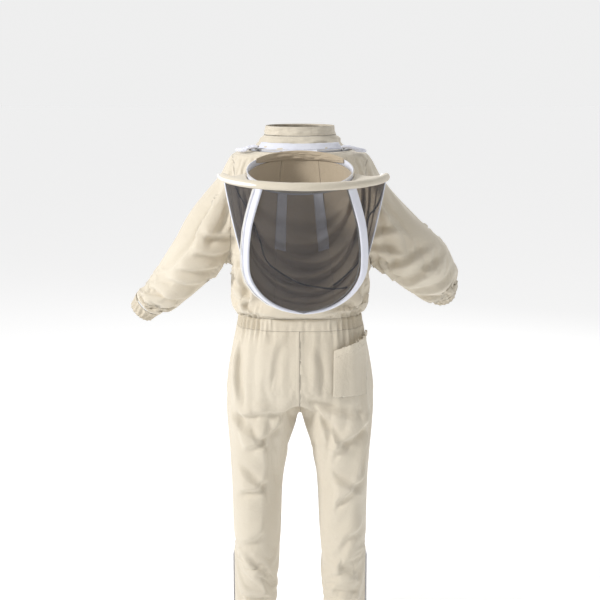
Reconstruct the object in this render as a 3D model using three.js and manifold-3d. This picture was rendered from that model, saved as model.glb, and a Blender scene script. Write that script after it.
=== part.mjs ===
// A beekeeper's cotton coverall with a fencing-style veil hood, worn by nobody, with the hood thrown back.
// Millimetres, +Z up. The wearer faces +Y, so the back is at -Y, the left arm at -X and the right arm at +X.
// The origin is the middle of the neckline, where the neck comes out between the shoulders.
import * as THREE from "three";
import { LoftGeometry } from "three/addons/geometries/LoftGeometry.js";
import { ParametricGeometry } from "three/addons/geometries/ParametricGeometry.js";
import { mergeGeometries, mergeVertices } from "three/addons/utils/BufferGeometryUtils.js";
import Module from "manifold-3d";

const wasm = await Module();
wasm.setup();

// ---------------------------------------------------------------- driving dimensions
const CLOTH = 2; // wall of the cotton drill with its seams
const TAPE = 1.6; // zip tape, binding and webbing
const MESH = 1.2; // veil netting
const GAP = 0.3; // between pieces that are sewn or rest on each other

const HEM_Z = -1410; // bottom of the ankle cuffs
const ANKLE_CUFF = 40; // height of the elastic ankle cuff
const SLEEVE_CUFF = 34; // length of the elastic sleeve cuff
const WAIST_TOP = -440;
const WAIST_BAND = 32; // height of the waist casing
const FRONT = 122; // the straight front edge lies this far forward of the neck's middle
const NECK_RADIUS = 131; // outside of the round neckline zip
const ZIP_PLANE = 8; // height at which suit and hood zip together
const HOOD_SWING = 195; // degrees from worn to thrown back
const HINGE_BACK = 8; // the hood turns this far behind the neckline zip

const ZIP = { tape: 13, teeth: 3, teethDepth: 2, sliderLength: 16, sliderWidth: 12, pull: 26, play: 0.4 };

// ---------------------------------------------------------------- materials
function paint(color, roughness, metalness = 0) {
  return new THREE.MeshStandardMaterial({ color, roughness, metalness });
}
const drill = paint(0xd3c6ae, 0.9);
const elastic = paint(0xcabfa6, 0.95);
const whiteTape = paint(0xe6e4ea, 0.8);
const netting = paint(0x3a3733, 0.85);
const nylon = paint(0xdedbd2, 0.5);
const zinc = paint(0xb9b9b6, 0.35, 1);
const spring = paint(0xf0f0ee, 0.4);

// ---------------------------------------------------------------- solids
// A manifold-3d solid of a closed three.js geometry.
function solidOf(geometry) {
  const bare = new THREE.BufferGeometry();
  bare.setAttribute("position", geometry.getAttribute("position"));
  bare.setIndex(geometry.index);
  const merged = mergeVertices(bare, 1e-4);
  const corners = merged.index.array;
  const triVerts = [];
  for (let i = 0; i < corners.length; i += 3) {
    const [a, b, c] = corners.slice(i, i + 3);
    if (a !== b && b !== c && c !== a) triVerts.push(a, b, c);
  }
  const vertProperties = merged.attributes.position.array;
  const mesh = new wasm.Mesh({ numProp: 3, vertProperties, triVerts: new Uint32Array(triVerts) });
  return new wasm.Manifold(mesh);
}

// A closed solid through a row of outlines, wound so that its sides face out.
function loft(sections) {
  const [first, next] = [Math.floor((sections.length - 1) / 2), Math.floor((sections.length + 1) / 2)];
  const area = new THREE.Vector3();
  const total = (section) => section.reduce((sum, p) => sum.add(p), new THREE.Vector3());
  const middle = (section) => total(section).divideScalar(section.length);
  sections[first].forEach((p, i, all) => area.add(p.clone().cross(all[(i + 1) % all.length])));
  const onward = middle(sections[next]).sub(middle(sections[first]));
  const wound = area.dot(onward) > 0 ? sections : sections.map((section) => [...section].reverse());
  return solidOf(new LoftGeometry(wound, { capStart: true, capEnd: true }));
}

function geometryOf(solid) {
  const { vertProperties, triVerts, numProp } = solid.getMesh();
  const positions = new Float32Array((vertProperties.length / numProp) * 3);
  for (let i = 0; i < positions.length / 3; i++) {
    positions.set(vertProperties.subarray(i * numProp, i * numProp + 3), i * 3);
  }
  return new THREE.BufferGeometry()
    .setAttribute("position", new THREE.BufferAttribute(positions, 3))
    .setIndex(new THREE.BufferAttribute(triVerts, 1));
}

// A box from its lowest to its highest corner.
function block([x0, y0, z0], [x1, y1, z1]) {
  const box = new THREE.BoxGeometry(x1 - x0, y1 - y0, z1 - z0);
  box.translate((x0 + x1) / 2, (y0 + y1) / 2, (z0 + z1) / 2);
  return solidOf(box);
}

const FAR = 3000;
const side = {
  left: (x = 0) => block([-FAR, -FAR, -FAR], [x - GAP / 2, FAR, FAR]),
  right: (x = 0) => block([x + GAP / 2, -FAR, -FAR], [FAR, FAR, FAR]),
  back: (y = 0) => block([-FAR, -FAR, -FAR], [FAR, y - GAP / 2, FAR]),
  front: (y = 0) => block([-FAR, y + GAP / 2, -FAR], [FAR, FAR, FAR]),
  above: (z) => block([-FAR, -FAR, z + GAP / 2], [FAR, FAR, FAR]),
  below: (z) => block([-FAR, -FAR, -FAR], [FAR, FAR, z - GAP / 2]),
};
const keep = (solid, ...halves) => halves.reduce((kept, half) => kept.intersect(half), solid);
const largest = (solid) => solid.decompose().sort((a, b) => b.volume() - a.volume())[0];

const group = new THREE.Group();

function add(name, solid, material, parent = group) {
  const mesh = new THREE.Mesh(geometryOf(largest(solid)), material);
  mesh.name = name;
  parent.add(mesh);
  return mesh;
}

// Rows of values that run smoothly from one station to the next; the first value of each row is its place.
function stations(rows) {
  const sorted = [...rows].sort((a, b) => a[0] - b[0]);
  const width = sorted[0].length - 1;
  const curve = new THREE.CubicInterpolant(
    sorted.map((row) => row[0]),
    sorted.flatMap((row) => row.slice(1)),
    width,
    new Float32Array(width),
  );
  return (place) => Array.from(curve.evaluate(place));
}

function spread(from, to, count) {
  return Array.from({ length: count + 1 }, (_, i) => from + ((to - from) * i) / count);
}

// One horizontal slice of a body: half width, reach back and reach front; round is 2 for an ellipse.
function slice(z, [halfWidth, back, front, round = 2, middle = 0], inset, segments) {
  return spread(0, segments - 1, segments - 1).map((i) => {
    const angle = (2 * Math.PI * i) / segments;
    const [c, s] = [Math.cos(angle), Math.sin(angle)];
    const swell = (value) => Math.sign(value) * Math.abs(value) ** (2 / round);
    const depth = s < 0 ? back : front;
    return new THREE.Vector3(middle + (halfWidth - inset) * swell(c), (depth - inset) * swell(s), z);
  });
}

const ROUND = 32; // facets round the body and the neckline, the same so that rings nest

// A solid through horizontal slices at the given heights.
function body(at, heights, inset = 0, segments = ROUND) {
  const sections = heights.map((z) => slice(z, at(z), inset, segments));
  return loft(sections);
}

// A wall of cloth: the body less the same body one wall in, which runs on past both ends.
function wall(at, heights, thickness = CLOTH, segments = ROUND) {
  const ends = [heights[0], heights[heights.length - 1]];
  const reach = Math.sign(ends[1] - ends[0]);
  const sections = heights.map((z) => slice(z, at(z), thickness, segments));
  const past = (z, by) => slice(z, at(z), thickness, segments).map((p) => p.setZ(z + by));
  const inner = [past(ends[0], -reach), ...sections, past(ends[1], reach)];
  return body(at, heights, 0, segments).subtract(loft(inner));
}

// A solid swept along a limb: each station of the path is x, y, z, half width and half depth.
function limb(path, rows, inset = 0, reach = 0, segments = 16) {
  const line = new THREE.CatmullRomCurve3(path.map(([x, y, z]) => new THREE.Vector3(x, y, z)));
  const girth = stations(path.map(([, , , wide, deep], i) => [i / (path.length - 1), wide, deep]));
  const section = (t, beyond = 0) => {
    const middle = line.getPoint(t);
    const along = line.getTangent(t);
    const across = new THREE.Vector3().crossVectors(along, new THREE.Vector3(0, 1, 0)).normalize();
    const through = new THREE.Vector3().crossVectors(across, along).normalize();
    const [wide, deep] = girth(t);
    middle.addScaledVector(along, beyond);
    return spread(0, segments - 1, segments - 1).map((i) => {
      const angle = (2 * Math.PI * i) / segments;
      return middle
        .clone()
        .addScaledVector(across, (wide - inset) * Math.cos(angle))
        .addScaledVector(through, (deep - inset) * Math.sin(angle));
    });
  };
  const sections = rows.map((t) => section(t));
  if (reach) {
    sections.unshift(section(rows[0], -reach));
    sections.push(section(rows[rows.length - 1], reach));
  }
  return loft(sections);
}

// A curved sheet of even thickness about the surface at(u, v), with u and v from 0 to 1.
function sheet(at, columns, rows, thickness) {
  const step = 1e-3;
  const off = (u, v, away) => {
    const u0 = Math.min(Math.max(u - step, 0), 1 - 2 * step);
    const v0 = Math.min(Math.max(v - step, 0), 1 - 2 * step);
    const du = at(u0 + 2 * step, v0).sub(at(u0, v0));
    const dv = at(u0, v0 + 2 * step).sub(at(u0, v0));
    return at(u, v).addScaledVector(du.cross(dv).normalize(), away);
  };
  const face = (away) => {
    return new ParametricGeometry((u, v, target) => target.copy(off(u, v, away)), columns, rows);
  };
  const inner = face(-thickness / 2);
  inner.setIndex([...inner.index.array].reverse());
  const edge = [
    ...spread(0, 1, columns).map((u) => [u, 0]),
    ...spread(0, 1, rows).map((v) => [1, v]),
    ...spread(1, 0, columns).map((u) => [u, 1]),
    ...spread(1, 0, rows).map((v) => [0, v]),
  ];
  const rim = (away) => edge.map(([u, v]) => off(u, v, away));
  const band = new LoftGeometry([rim(-thickness / 2), rim(thickness / 2)]);
  return solidOf(mergeGeometries([face(thickness / 2), inner, band]));
}

// A strip swept along a curve, by a flat shape whose x is across the curve and whose y is away from it.
function sweep(shape, curve, steps) {
  return solidOf(new THREE.ExtrudeGeometry(shape, { steps, extrudePath: curve, bevelEnabled: false }));
}

const rounded = (wide, thick, points = 3) => {
  const r = Math.min(wide, thick) / 2;
  const [a, b] = [wide / 2 - r, thick / 2 - r];
  const corners = [
    [a, b, 0],
    [-a, b, 1],
    [-a, -b, 2],
    [a, -b, 3],
  ];
  const outline = corners.flatMap(([x, y, quarter]) =>
    spread(0, 1, points).map((t) => {
      const angle = ((quarter + t) * Math.PI) / 2;
      return new THREE.Vector2(x + r * Math.cos(angle), y + r * Math.sin(angle));
    }),
  );
  return outline.filter((p, i) => p.distanceTo(outline[(i + 1) % outline.length]) > 1e-6);
};

// ---------------------------------------------------------------- coverall: torso
const WAIST_BOTTOM = WAIST_TOP - WAIST_BAND;
const NECK_EDGE = ZIP_PLANE - 6.6; // the torso's cloth ends just below the teeth of the neckline zip
const TAPE_LOW = ZIP_PLANE - 9; // bottom of the neckline's lower zip tape
const NECK_HOLE = [NECK_RADIUS + CLOTH + GAP, NECK_RADIUS + CLOTH + GAP, NECK_RADIUS + CLOTH + GAP, 2];
// height, half width, reach back, reach front, roundness
const torsoAt = stations([
  [NECK_EDGE, ...NECK_HOLE],
  [TAPE_LOW - 0.5, ...NECK_HOLE],
  [-5, 166, 132, 130, 2.1],
  [-14, 190, 130, 127, 2.2],
  [-30, 205, 128, FRONT + 1.5, 2.35],
  [-60, 211, 126, FRONT, 2.5],
  [-120, 207, 125, FRONT, 2.5],
  [-200, 199, 125, FRONT, 2.5],
  [-280, 193, 122, FRONT, 2.5],
  [-350, 190, 117, FRONT, 2.5],
  [-405, 182, 112, FRONT, 2.5],
  [WAIST_TOP, 168, 109, FRONT, 2.5],
  [WAIST_BOTTOM, 172, 109, FRONT, 2.5],
]);
const torsoHeights = [NECK_EDGE, TAPE_LOW - 0.5, -5, -14, -30, -60, -120, -200, -280, -350, -405, WAIST_TOP];
const torsoSkin = wall(torsoAt, torsoHeights);
const torsoSolid = body(torsoAt, torsoHeights, -GAP);

// ---------------------------------------------------------------- coverall: sleeves
// The left arm hangs out straight; the right one bends at the elbow and reaches forward.
// x, y, z, half width, half depth
const leftArm = [
  [-128, 0, -78, 76, 72],
  [-230, 0, -184, 76, 74],
  [-267, 2, -244, 75, 72],
  [-307, 8, -298, 70, 66],
  [-374, 28, -375, 56, 56],
  [-419, 50, -427, 44, 46],
];
const rightArm = [
  [128, 0, -78, 78, 72],
  [238, 0, -208, 82, 74],
  [290, 8, -254, 82, 74],
  [342, 34, -300, 82, 72],
  [380, 84, -352, 66, 60],
  [397, 124, -398, 50, 50],
];
const armRows = spread(0, 1, 7);
const armSkin = (path) => limb(path, armRows).subtract(limb(path, armRows, CLOTH, 2));
const armHollow = (path) => limb(path, armRows, CLOTH, 2);

// An elastic cuff goes on from the end of a sleeve, drawn in to the wrist.
function sleeveCuff(path) {
  const [, , , wide, deep] = path[path.length - 1];
  const line = new THREE.CatmullRomCurve3(path.map(([x, y, z]) => new THREE.Vector3(x, y, z)));
  const end = line.getPoint(1);
  const along = line.getTangent(1);
  const at = (beyond) => end.clone().addScaledVector(along, beyond).toArray();
  const cuffPath = [
    [...at(GAP), wide - 1, deep - 1],
    [...at(SLEEVE_CUFF / 2), 36, 38],
    [...at(SLEEVE_CUFF), 38, 40],
  ];
  const rows = spread(0, 1, 2);
  const limits = limb(path, armRows, -GAP);
  return limb(cuffPath, rows).subtract(limb(cuffPath, rows, CLOTH, 3)).subtract(limits);
}

for (const [name, path] of [
  ["left", leftArm],
  ["right", rightArm],
]) {
  add(`sleeve_${name}`, armSkin(path).subtract(torsoSolid), drill);
  add(`sleeve_cuff_${name}`, sleeveCuff(path), elastic);
}

const armholes = armHollow(leftArm).add(armHollow(rightArm));
const torso = torsoSkin.subtract(armholes);
add("torso_back_panel", keep(torso, side.back(), side.above(WAIST_TOP)), drill);
add("torso_front_left_panel", keep(torso, side.front(), side.left(-ZIP.tape), side.above(WAIST_TOP)), drill);
add("torso_front_right_panel", keep(torso, side.front(), side.right(ZIP.tape), side.above(WAIST_TOP)), drill);

// ---------------------------------------------------------------- coverall: waist
const ELASTIC_FROM = 112; // the elastic draws in the sides, from here outwards
const waist = keep(wall(torsoAt, [WAIST_TOP, WAIST_BOTTOM]), side.below(WAIST_TOP), side.above(WAIST_BOTTOM));
add("waist_elastic_left", keep(waist, side.left(-ELASTIC_FROM)), elastic);
add("waist_elastic_right", keep(waist, side.right(ELASTIC_FROM)), elastic);
add("waistband_back", keep(waist, side.back(), side.right(-ELASTIC_FROM), side.left(ELASTIC_FROM)), drill);
const waistFront = keep(waist, side.front(), side.right(-ELASTIC_FROM), side.left(ELASTIC_FROM));
add("waistband_front_left", keep(waistFront, side.left(-ZIP.tape)), drill);
add("waistband_front_right", keep(waistFront, side.right(ZIP.tape)), drill);

// ---------------------------------------------------------------- coverall: trousers
const CROTCH = -690;
const CUFF_TOP = HEM_Z + ANKLE_CUFF;
const hipsAt = stations([
  [WAIST_BOTTOM + 10, 171, 109, FRONT, 2.5],
  [WAIST_BOTTOM, 172, 109, FRONT, 2.5],
  [-545, 190, 122, FRONT, 2.5],
  [-600, 201, 132, FRONT, 2.45],
  [-645, 207, 134, FRONT - 2, 2.35],
  [CROTCH + 15, 203, 112, FRONT - 20, 2.1],
]);
const LEG_ROUND = 18;
const hipHeights = [WAIST_BOTTOM + 10, WAIST_BOTTOM, -510, -545, -575, -600, -645, CROTCH + 15];
// height, half width, reach back, reach front, roundness, middle of the leg
const legStations = [
  [-560, 88, 92, 90, 2.2, 95],
  [-630, 99, 112, 103, 2.2, 102],
  [CROTCH, 103, 116, 106, 2.1, 104],
  [-750, 96, 106, 100, 2, 107],
  [-815, 84, 96, 94, 2, 112],
  [-890, 75, 86, 88, 2, 117],
  [-960, 71, 80, 86, 2, 119],
  [-1130, 65, 78, 74, 2, 122],
  [CUFF_TOP, 60, 66, 66, 2, 127],
];
const legAt = (mirror) => stations(legStations.map((row) => [...row.slice(0, 5), mirror * row[5]]));
const legHeights = legStations.map((row) => row[0]);

const trouserSolid = (inset) =>
  body(hipsAt, hipHeights, inset, 28)
    .add(body(legAt(-1), legHeights, inset, LEG_ROUND))
    .add(body(legAt(1), legHeights, inset, LEG_ROUND));
const openEnds = (solid) => {
  const waistPlug = body(hipsAt, [WAIST_BOTTOM + 10, WAIST_BOTTOM, -510], CLOTH, 28).translate([0, 0, 2]);
  const hemPlug = (mirror) => body(legAt(mirror), [-1300, CUFF_TOP], CLOTH, LEG_ROUND).translate([0, 0, -2]);
  return solid.add(waistPlug).add(hemPlug(-1)).add(hemPlug(1));
};
const FLY_BOTTOM = -640; // bottom of the front zip
const fly = block([-ZIP.tape - GAP, 0, FLY_BOTTOM], [ZIP.tape + GAP, FAR, 0]);
const trousers = trouserSolid(0).subtract(openEnds(trouserSolid(CLOTH)));
const legPart = (...halves) => keep(trousers, side.below(WAIST_BOTTOM), side.above(CUFF_TOP), ...halves);
add("trouser_back_left_panel", legPart(side.back(), side.left()), drill);
add("trouser_back_right_panel", legPart(side.back(), side.right()), drill);
add("trouser_front_left_panel", legPart(side.front(), side.left()).subtract(fly), drill);
add("trouser_front_right_panel", legPart(side.front(), side.right()).subtract(fly), drill);

for (const [name, mirror] of [
  ["left", -1],
  ["right", 1],
]) {
  const cuffAt = stations([
    [CUFF_TOP, 59, 65, 65, 2, mirror * 127],
    [(CUFF_TOP + HEM_Z) / 2, 52, 57, 57, 2, mirror * 128],
    [HEM_Z, 54, 59, 59, 2, mirror * 128],
  ]);
  const heights = spread(CUFF_TOP, HEM_Z, 2);
  add(`ankle_cuff_${name}`, keep(wall(cuffAt, heights, CLOTH, LEG_ROUND), side.below(CUFF_TOP)), elastic);
}

// ---------------------------------------------------------------- neckline: yoke, collar, lower zip half
const neckAt = stations([
  [TAPE_LOW, ...Array(3).fill(NECK_RADIUS - TAPE - 2 * GAP)],
  [ZIP_PLANE, 120, 118, 118],
  [24, 108, 102, 100],
  [40, 96, 88, 86],
  [64, 91, 82, 80],
]);
add("neck_yoke", keep(wall(neckAt, [TAPE_LOW, ZIP_PLANE, 24, 40]), side.below(40)), drill);
add("collar_stand", keep(wall(neckAt, [40, 52, 64]), side.above(40)), drill);

// Half of the neckline zip: a 3 mm bead of teeth next to the zip plane and a tape that runs away from it.
function neckZip(up, width) {
  const inner = NECK_RADIUS - TAPE;
  const bead = NECK_RADIUS + TAPE;
  const profile = [
    [inner, 0.5],
    [bead, 0.5],
    [bead, 3.5],
    [NECK_RADIUS, 3.5],
    [NECK_RADIUS, width],
    [inner, width],
    [inner, 0.5],
  ].map(([r, away]) => new THREE.Vector2(r, ZIP_PLANE + up * away));
  if (up < 0) profile.reverse();
  return solidOf(new THREE.LatheGeometry(profile, ROUND).rotateX(Math.PI / 2));
}
add("neck_zip_tape", neckZip(-1, ZIP_PLANE - TAPE_LOW), whiteTape);

// ---------------------------------------------------------------- zips
// A slider that caps a straight run of teeth: x across, y out from the tape's face, z along.
function sliderSolid() {
  const { sliderWidth: w, sliderLength: l, teeth, teethDepth, play } = ZIP;
  const top = teethDepth + 3 * play + 2;
  const groove = block([-teeth - play, -1, -l], [teeth + play, GAP + teethDepth + play, l]);
  const ear = (x) => block([x - 0.8, top - 0.5, l / 2 - 7], [x + 0.8, top + 4, l / 2 - 2]);
  const pin = new THREE.CylinderGeometry(0.8, 0.8, 6, 10).rotateZ(Math.PI / 2);
  pin.translate(0, top + 2.4, l / 2 - 4.5);
  return block([-w / 2, play, -l / 2], [w / 2, top, l / 2])
    .subtract(groove)
    .add(ear(-3))
    .add(ear(3))
    .add(solidOf(pin));
}
const pinPlace = { y: ZIP.teethDepth + 3 * ZIP.play + 4.4, z: ZIP.sliderLength / 2 - 4.5 };

// The pull: an eye round the slider's pin and a flat tab that hangs from it. Its origin is the pin.
function pullSolid(length = ZIP.pull) {
  const eye = new THREE.CylinderGeometry(2.3, 2.3, 3.4, 16).rotateZ(Math.PI / 2);
  const bore = new THREE.CylinderGeometry(1.1, 1.1, 6, 12).rotateZ(Math.PI / 2);
  const neck = block([-1.7, -0.8, -5], [1.7, 0.8, -1.6]);
  const tab = block([-4, -0.8, -length], [4, 0.8, -4.6]);
  const slot = block([-1.8, -2, -length + 3], [1.8, 2, -9]);
  return solidOf(eye).add(neck).add(tab).subtract(slot).subtract(solidOf(bore));
}

// Front zip, up the straight front edge from the fly to the neckline.
const FRONT_ZIP_TOP = -18;
for (const [name, x0, x1] of [
  ["left", -ZIP.tape + GAP, -GAP / 2],
  ["right", GAP / 2, ZIP.tape - GAP],
]) {
  const tape = block([x0, FRONT - TAPE, FLY_BOTTOM + GAP], [x1, FRONT, FRONT_ZIP_TOP]);
  add(`front_zip_tape_${name}`, tape, whiteTape);
}
const teethFace = FRONT + GAP;
const teethTop = [ZIP.teeth, teethFace + ZIP.teethDepth, FRONT_ZIP_TOP - 14];
const teeth = block([-ZIP.teeth, teethFace, FLY_BOTTOM + 4], teethTop);
add("front_zip_teeth", teeth, nylon);

const FRONT_SLIDER_Z = -64; // closed, at the top
const frontSlider = new THREE.Group();
frontSlider.position.set(0, FRONT, FRONT_SLIDER_Z);
group.add(frontSlider);
add("front_zip_slider", sliderSolid(), zinc, frontSlider);
const frontPull = new THREE.Group();
frontPull.position.set(0, pinPlace.y, pinPlace.z);
frontSlider.add(frontPull);
add("front_zip_pull", pullSolid(), zinc, frontPull);

// Ankle zips, up the outside of each leg from the cuff.
const ANKLE_ZIP = { bottom: CUFF_TOP + 6, length: 225, face: 188.9 };
for (const [name, mirror] of [
  ["left", -1],
  ["right", 1],
]) {
  const out = new THREE.Group();
  out.position.set(mirror * ANKLE_ZIP.face, 0, ANKLE_ZIP.bottom);
  out.rotation.z = (-mirror * Math.PI) / 2;
  group.add(out);
  const tape = block([-ZIP.tape, -TAPE, 0], [ZIP.tape, 0, ANKLE_ZIP.length]);
  const row = block([-ZIP.teeth, -0.4, 4], [ZIP.teeth, GAP + ZIP.teethDepth, ANKLE_ZIP.length - 4]);
  add(`ankle_zip_${name}`, tape.add(row), whiteTape, out);
  const slider = new THREE.Group();
  slider.position.set(0, 0, 14 + ZIP.sliderLength / 2);
  out.add(slider);
  add(`ankle_zip_slider_${name}`, sliderSolid(), zinc, slider);
  const pull = new THREE.Group();
  pull.position.set(0, pinPlace.y, pinPlace.z);
  slider.add(pull);
  add(`ankle_zip_pull_${name}`, pullSolid(), zinc, pull);
}

// Neckline sliders: an outer plate with a lip under the lower bead, parked either side of the back.
const NECK_PARK = 58; // degrees round from the middle of the back
for (const [name, mirror] of [
  ["left", -1],
  ["right", 1],
]) {
  const place = new THREE.Group();
  const angle = -Math.PI / 2 + mirror * THREE.MathUtils.degToRad(NECK_PARK);
  place.rotation.z = angle;
  place.position.z = ZIP_PLANE;
  group.add(place);
  const r = NECK_RADIUS;
  const plate = block([r + 2.4, -7, -6], [r + 5, 7, 4.5]);
  const lip = block([r + 0.6, -7, -6], [r + 3, 7, -4.4]);
  const loop = block([r + 4.5, -1.6, -3], [r + 8, 1.6, 0.5]);
  const cord = new THREE.Shape(rounded(19, 7, 2));
  cord.holes.push(new THREE.Path(rounded(14, 2.6, 2).reverse()));
  const tag = new THREE.ExtrudeGeometry(cord, { depth: 1.4, bevelEnabled: false }).translate(r + 14.5, 0, -2);
  add(`neck_zip_slider_${name}`, plate.add(lip).add(loop).add(solidOf(tag)), zinc, place);
}

// Throat tab: a hook-and-loop patch sewn at its left end that covers where the zips meet.
const THROAT = { left: -25, right: 25, bottom: -36, top: ZIP_PLANE - 7, face: NECK_RADIUS + 8 };
const tabFront = THROAT.face + CLOTH;
const tab = block([THROAT.left, THROAT.face, THROAT.bottom], [THROAT.right, tabFront, THROAT.top]);
add("throat_tab", tab, drill);
const baseFrom = [THROAT.left - 12, FRONT - CLOTH, THROAT.bottom + 2];
const tabBase = block(baseFrom, [THROAT.left - GAP, tabFront, THROAT.top - 2]);
add("throat_tab_base", tabBase.subtract(torsoSolid), drill);

// ---------------------------------------------------------------- pockets
// A patch pocket follows a body's surface and stands off it more towards its open top.
function pocket({ at, from, to, bottom, top, slant = 0, belly, facing }) {
  const surface = (u, v) => {
    const x = from + (to - from) * u;
    const z = bottom + (top - bottom + slant * u) * v;
    const [halfWidth, back, front, round = 2, middle = 0] = at(z);
    const rise = Math.max(1e-4, 1 - Math.abs((x - middle) / halfWidth) ** round) ** (1 / round);
    const depth = (facing < 0 ? back : front) * rise;
    const stand = GAP + CLOTH / 2 + 0.6 + belly * Math.sin(Math.PI * u) * v ** 1.5;
    return new THREE.Vector3(x, facing * (depth + stand), z);
  };
  return sheet(surface, 6, 4, CLOTH);
}
const BACK_POCKET = { from: 90, to: 178, bottom: -648, top: -524, slant: 34, belly: 17 };
add("back_pocket", pocket({ at: hipsAt, ...BACK_POCKET, facing: -1 }).subtract(trouserSolid(-GAP)), drill);
for (const [name, mirror] of [
  ["left", -1],
  ["right", 1],
]) {
  const hip = { from: mirror * 40, to: mirror * 165, bottom: -650, top: -520, slant: -30, belly: 13 };
  add(`hip_pocket_${name}`, pocket({ at: hipsAt, ...hip, facing: 1 }).subtract(trouserSolid(-GAP)), drill);
}
const chestPocket = { from: -128, to: -38, bottom: -300, top: -178, belly: 12 };
add("chest_pocket", pocket({ at: torsoAt, ...chestPocket, facing: 1 }).subtract(torsoSolid), drill);

// ---------------------------------------------------------------- hinge tape behind the neckline
// The back of the neckline zip stays closed and is the hood's hinge: a leaf on the suit and one on the hood.
const HINGE_Y = -(NECK_RADIUS + HINGE_BACK);
const HINGE_HALF = 44;
function hingeLeaf(low, high) {
  const r = NECK_RADIUS + TAPE + GAP;
  const reach = Math.asin(HINGE_HALF / r);
  const arc = spread(-reach, reach, 10).map((a) => new THREE.Vector2(r * Math.sin(a), -r * Math.cos(a)));
  const edge = HINGE_Y + GAP;
  const outline = [...arc, new THREE.Vector2(HINGE_HALF, edge), new THREE.Vector2(-HINGE_HALF, edge)];
  const flat = { depth: high - low, bevelEnabled: false };
  const leaf = new THREE.ExtrudeGeometry(new THREE.Shape(outline), flat);
  return solidOf(leaf.translate(0, 0, low));
}
add("neck_hinge_tape", hingeLeaf(ZIP_PLANE - 2, ZIP_PLANE - 0.6), whiteTape);

// ---------------------------------------------------------------- hood, drawn as worn, then thrown back
const hood = new THREE.Group();
hood.position.set(0, HINGE_Y, ZIP_PLANE);
hood.rotation.x = THREE.MathUtils.degToRad(HOOD_SWING);
group.add(hood);
// Everything below is drawn about the middle of the neckline at the zip plane, and hung on the hinge.
const worn = new THREE.Group();
worn.position.set(0, -HINGE_Y, -ZIP_PLANE);
hood.add(worn);

add("hood_zip_tape", neckZip(1, 18), whiteTape, worn);
add("hood_hinge_tape", hingeLeaf(ZIP_PLANE + 0.6, ZIP_PLANE + 2), whiteTape, worn);

const RING_TOP = ZIP_PLANE + 18.3; // the hood's cloth starts above its zip tape
const HOOP = { radius: 200, middle: 10, side: 12, front: -33, rod: 4, cover: 10 };
const ARCH = { width: 24, thick: 8, rod: 2, foot: 108 }; // foot: where its ends meet the hoop
const hoopPoint = (place) => {
  // from the left ear, 0, round the front to the right ear, 1
  const a = Math.PI * (1 - place);
  const y = HOOP.middle + HOOP.radius * Math.sin(a);
  const share = (y - HOOP.middle) / HOOP.radius;
  const z = HOOP.side + (HOOP.front - HOOP.side) * share + ZIP_PLANE;
  return new THREE.Vector3(HOOP.radius * Math.cos(a), y, z);
};
const hoopCurve = new THREE.CatmullRomCurve3(spread(0, 1, 10).map(hoopPoint));

// The face arch: x and z of the white tape seen from the front, and how far forward it stands.
const footReach = HOOP.middle + Math.sqrt(HOOP.radius ** 2 - ARCH.foot ** 2);
const archHalf = [
  [ARCH.foot, footReach, -20],
  [124, 179, 34],
  [136, 174, 86],
  [143, 160, 160],
  [139, 144, 226],
  [109, 126, 286],
  [60, 114, 326],
];
const archTop = [0, 110, 340];
const archCurve = new THREE.CatmullRomCurve3(
  [
    ...archHalf.map(([x, y, z]) => [-x, y, z]),
    archTop,
    ...archHalf.map(([x, y, z]) => [x, y, z]).reverse(),
  ].map(([x, y, z]) => new THREE.Vector3(x, y, z + ZIP_PLANE)),
);

const ringShape = (outline, r) => {
  const shape = new THREE.Shape(outline);
  if (r) shape.holes.push(new THREE.Path(rounded(2 * r, 2 * r, 2).reverse()));
  return shape;
};
const hoopCover = (grow, hole) => {
  const across = 2 * (HOOP.cover + grow);
  return sweep(ringShape(rounded(across, across, 2), hole), hoopCurve, 18);
};
const hoopRod = sweep(new THREE.Shape(rounded(2 * HOOP.rod, 2 * HOOP.rod, 2)), hoopCurve, 18);

// The arch tape is flat and follows the veil round the head, so each section is turned to face outwards.
function archStrip(wide, thick, hole = 0) {
  const middle = new THREE.Vector3(0, 20, 160 + ZIP_PLANE);
  const rows = spread(0, 1, 20).map((t) => {
    const place = archCurve.getPoint(t);
    const along = archCurve.getTangent(t);
    const out = place.clone().sub(middle);
    out.addScaledVector(along, -out.dot(along)).normalize();
    const across = new THREE.Vector3().crossVectors(along, out).normalize();
    const put = (p) => place.clone().addScaledVector(across, p.x).addScaledVector(out, p.y);
    const inside = hole ? rounded(2 * hole, 2 * hole, 2).map(put) : [];
    return { outside: rounded(wide, thick, 1).map(put), inside };
  });
  const core = hole ? loft(rows.map((row) => row.inside)) : null;
  return { tape: loft(rows.map((row) => row.outside)), core };
}
const hoopOuter = hoopCover(GAP, 0);
add("hoop_cover", hoopCover(0, HOOP.rod + GAP), drill, worn);
add("hoop_rod", hoopRod, spring, worn);
const arch = archStrip(ARCH.width, ARCH.thick, ARCH.rod + 2 * GAP);
const archRod = archStrip(2 * ARCH.rod, 2 * ARCH.rod).tape;
const archOuter = archStrip(ARCH.width + 2 * GAP, ARCH.thick + 2 * GAP).tape;
add("face_arch_tape", arch.tape.subtract(arch.core).subtract(hoopOuter), whiteTape, worn);
add("face_arch_rod", archRod.subtract(hoopOuter), spring, worn);

// Centre of the veil: netting between the two legs of the arch, standing forward of them.
const veilCentre = (u, v) => {
  const t = 0.48 * v;
  const left = archCurve.getPoint(t);
  const right = archCurve.getPoint(1 - t);
  const place = left.clone().lerp(right, u);
  const bow = Math.sin(Math.PI * u);
  place.y += bow * ((HOOP.middle + HOOP.radius - footReach - 6) * (1 - v) ** 0.7 + 6);
  place.z -= bow * 12 * (1 - v);
  return place;
};
const hoodTrim = archOuter.add(hoopOuter);
add("veil_centre_net", sheet(veilCentre, 8, 8, MESH).subtract(hoodTrim), netting, worn);

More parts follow.
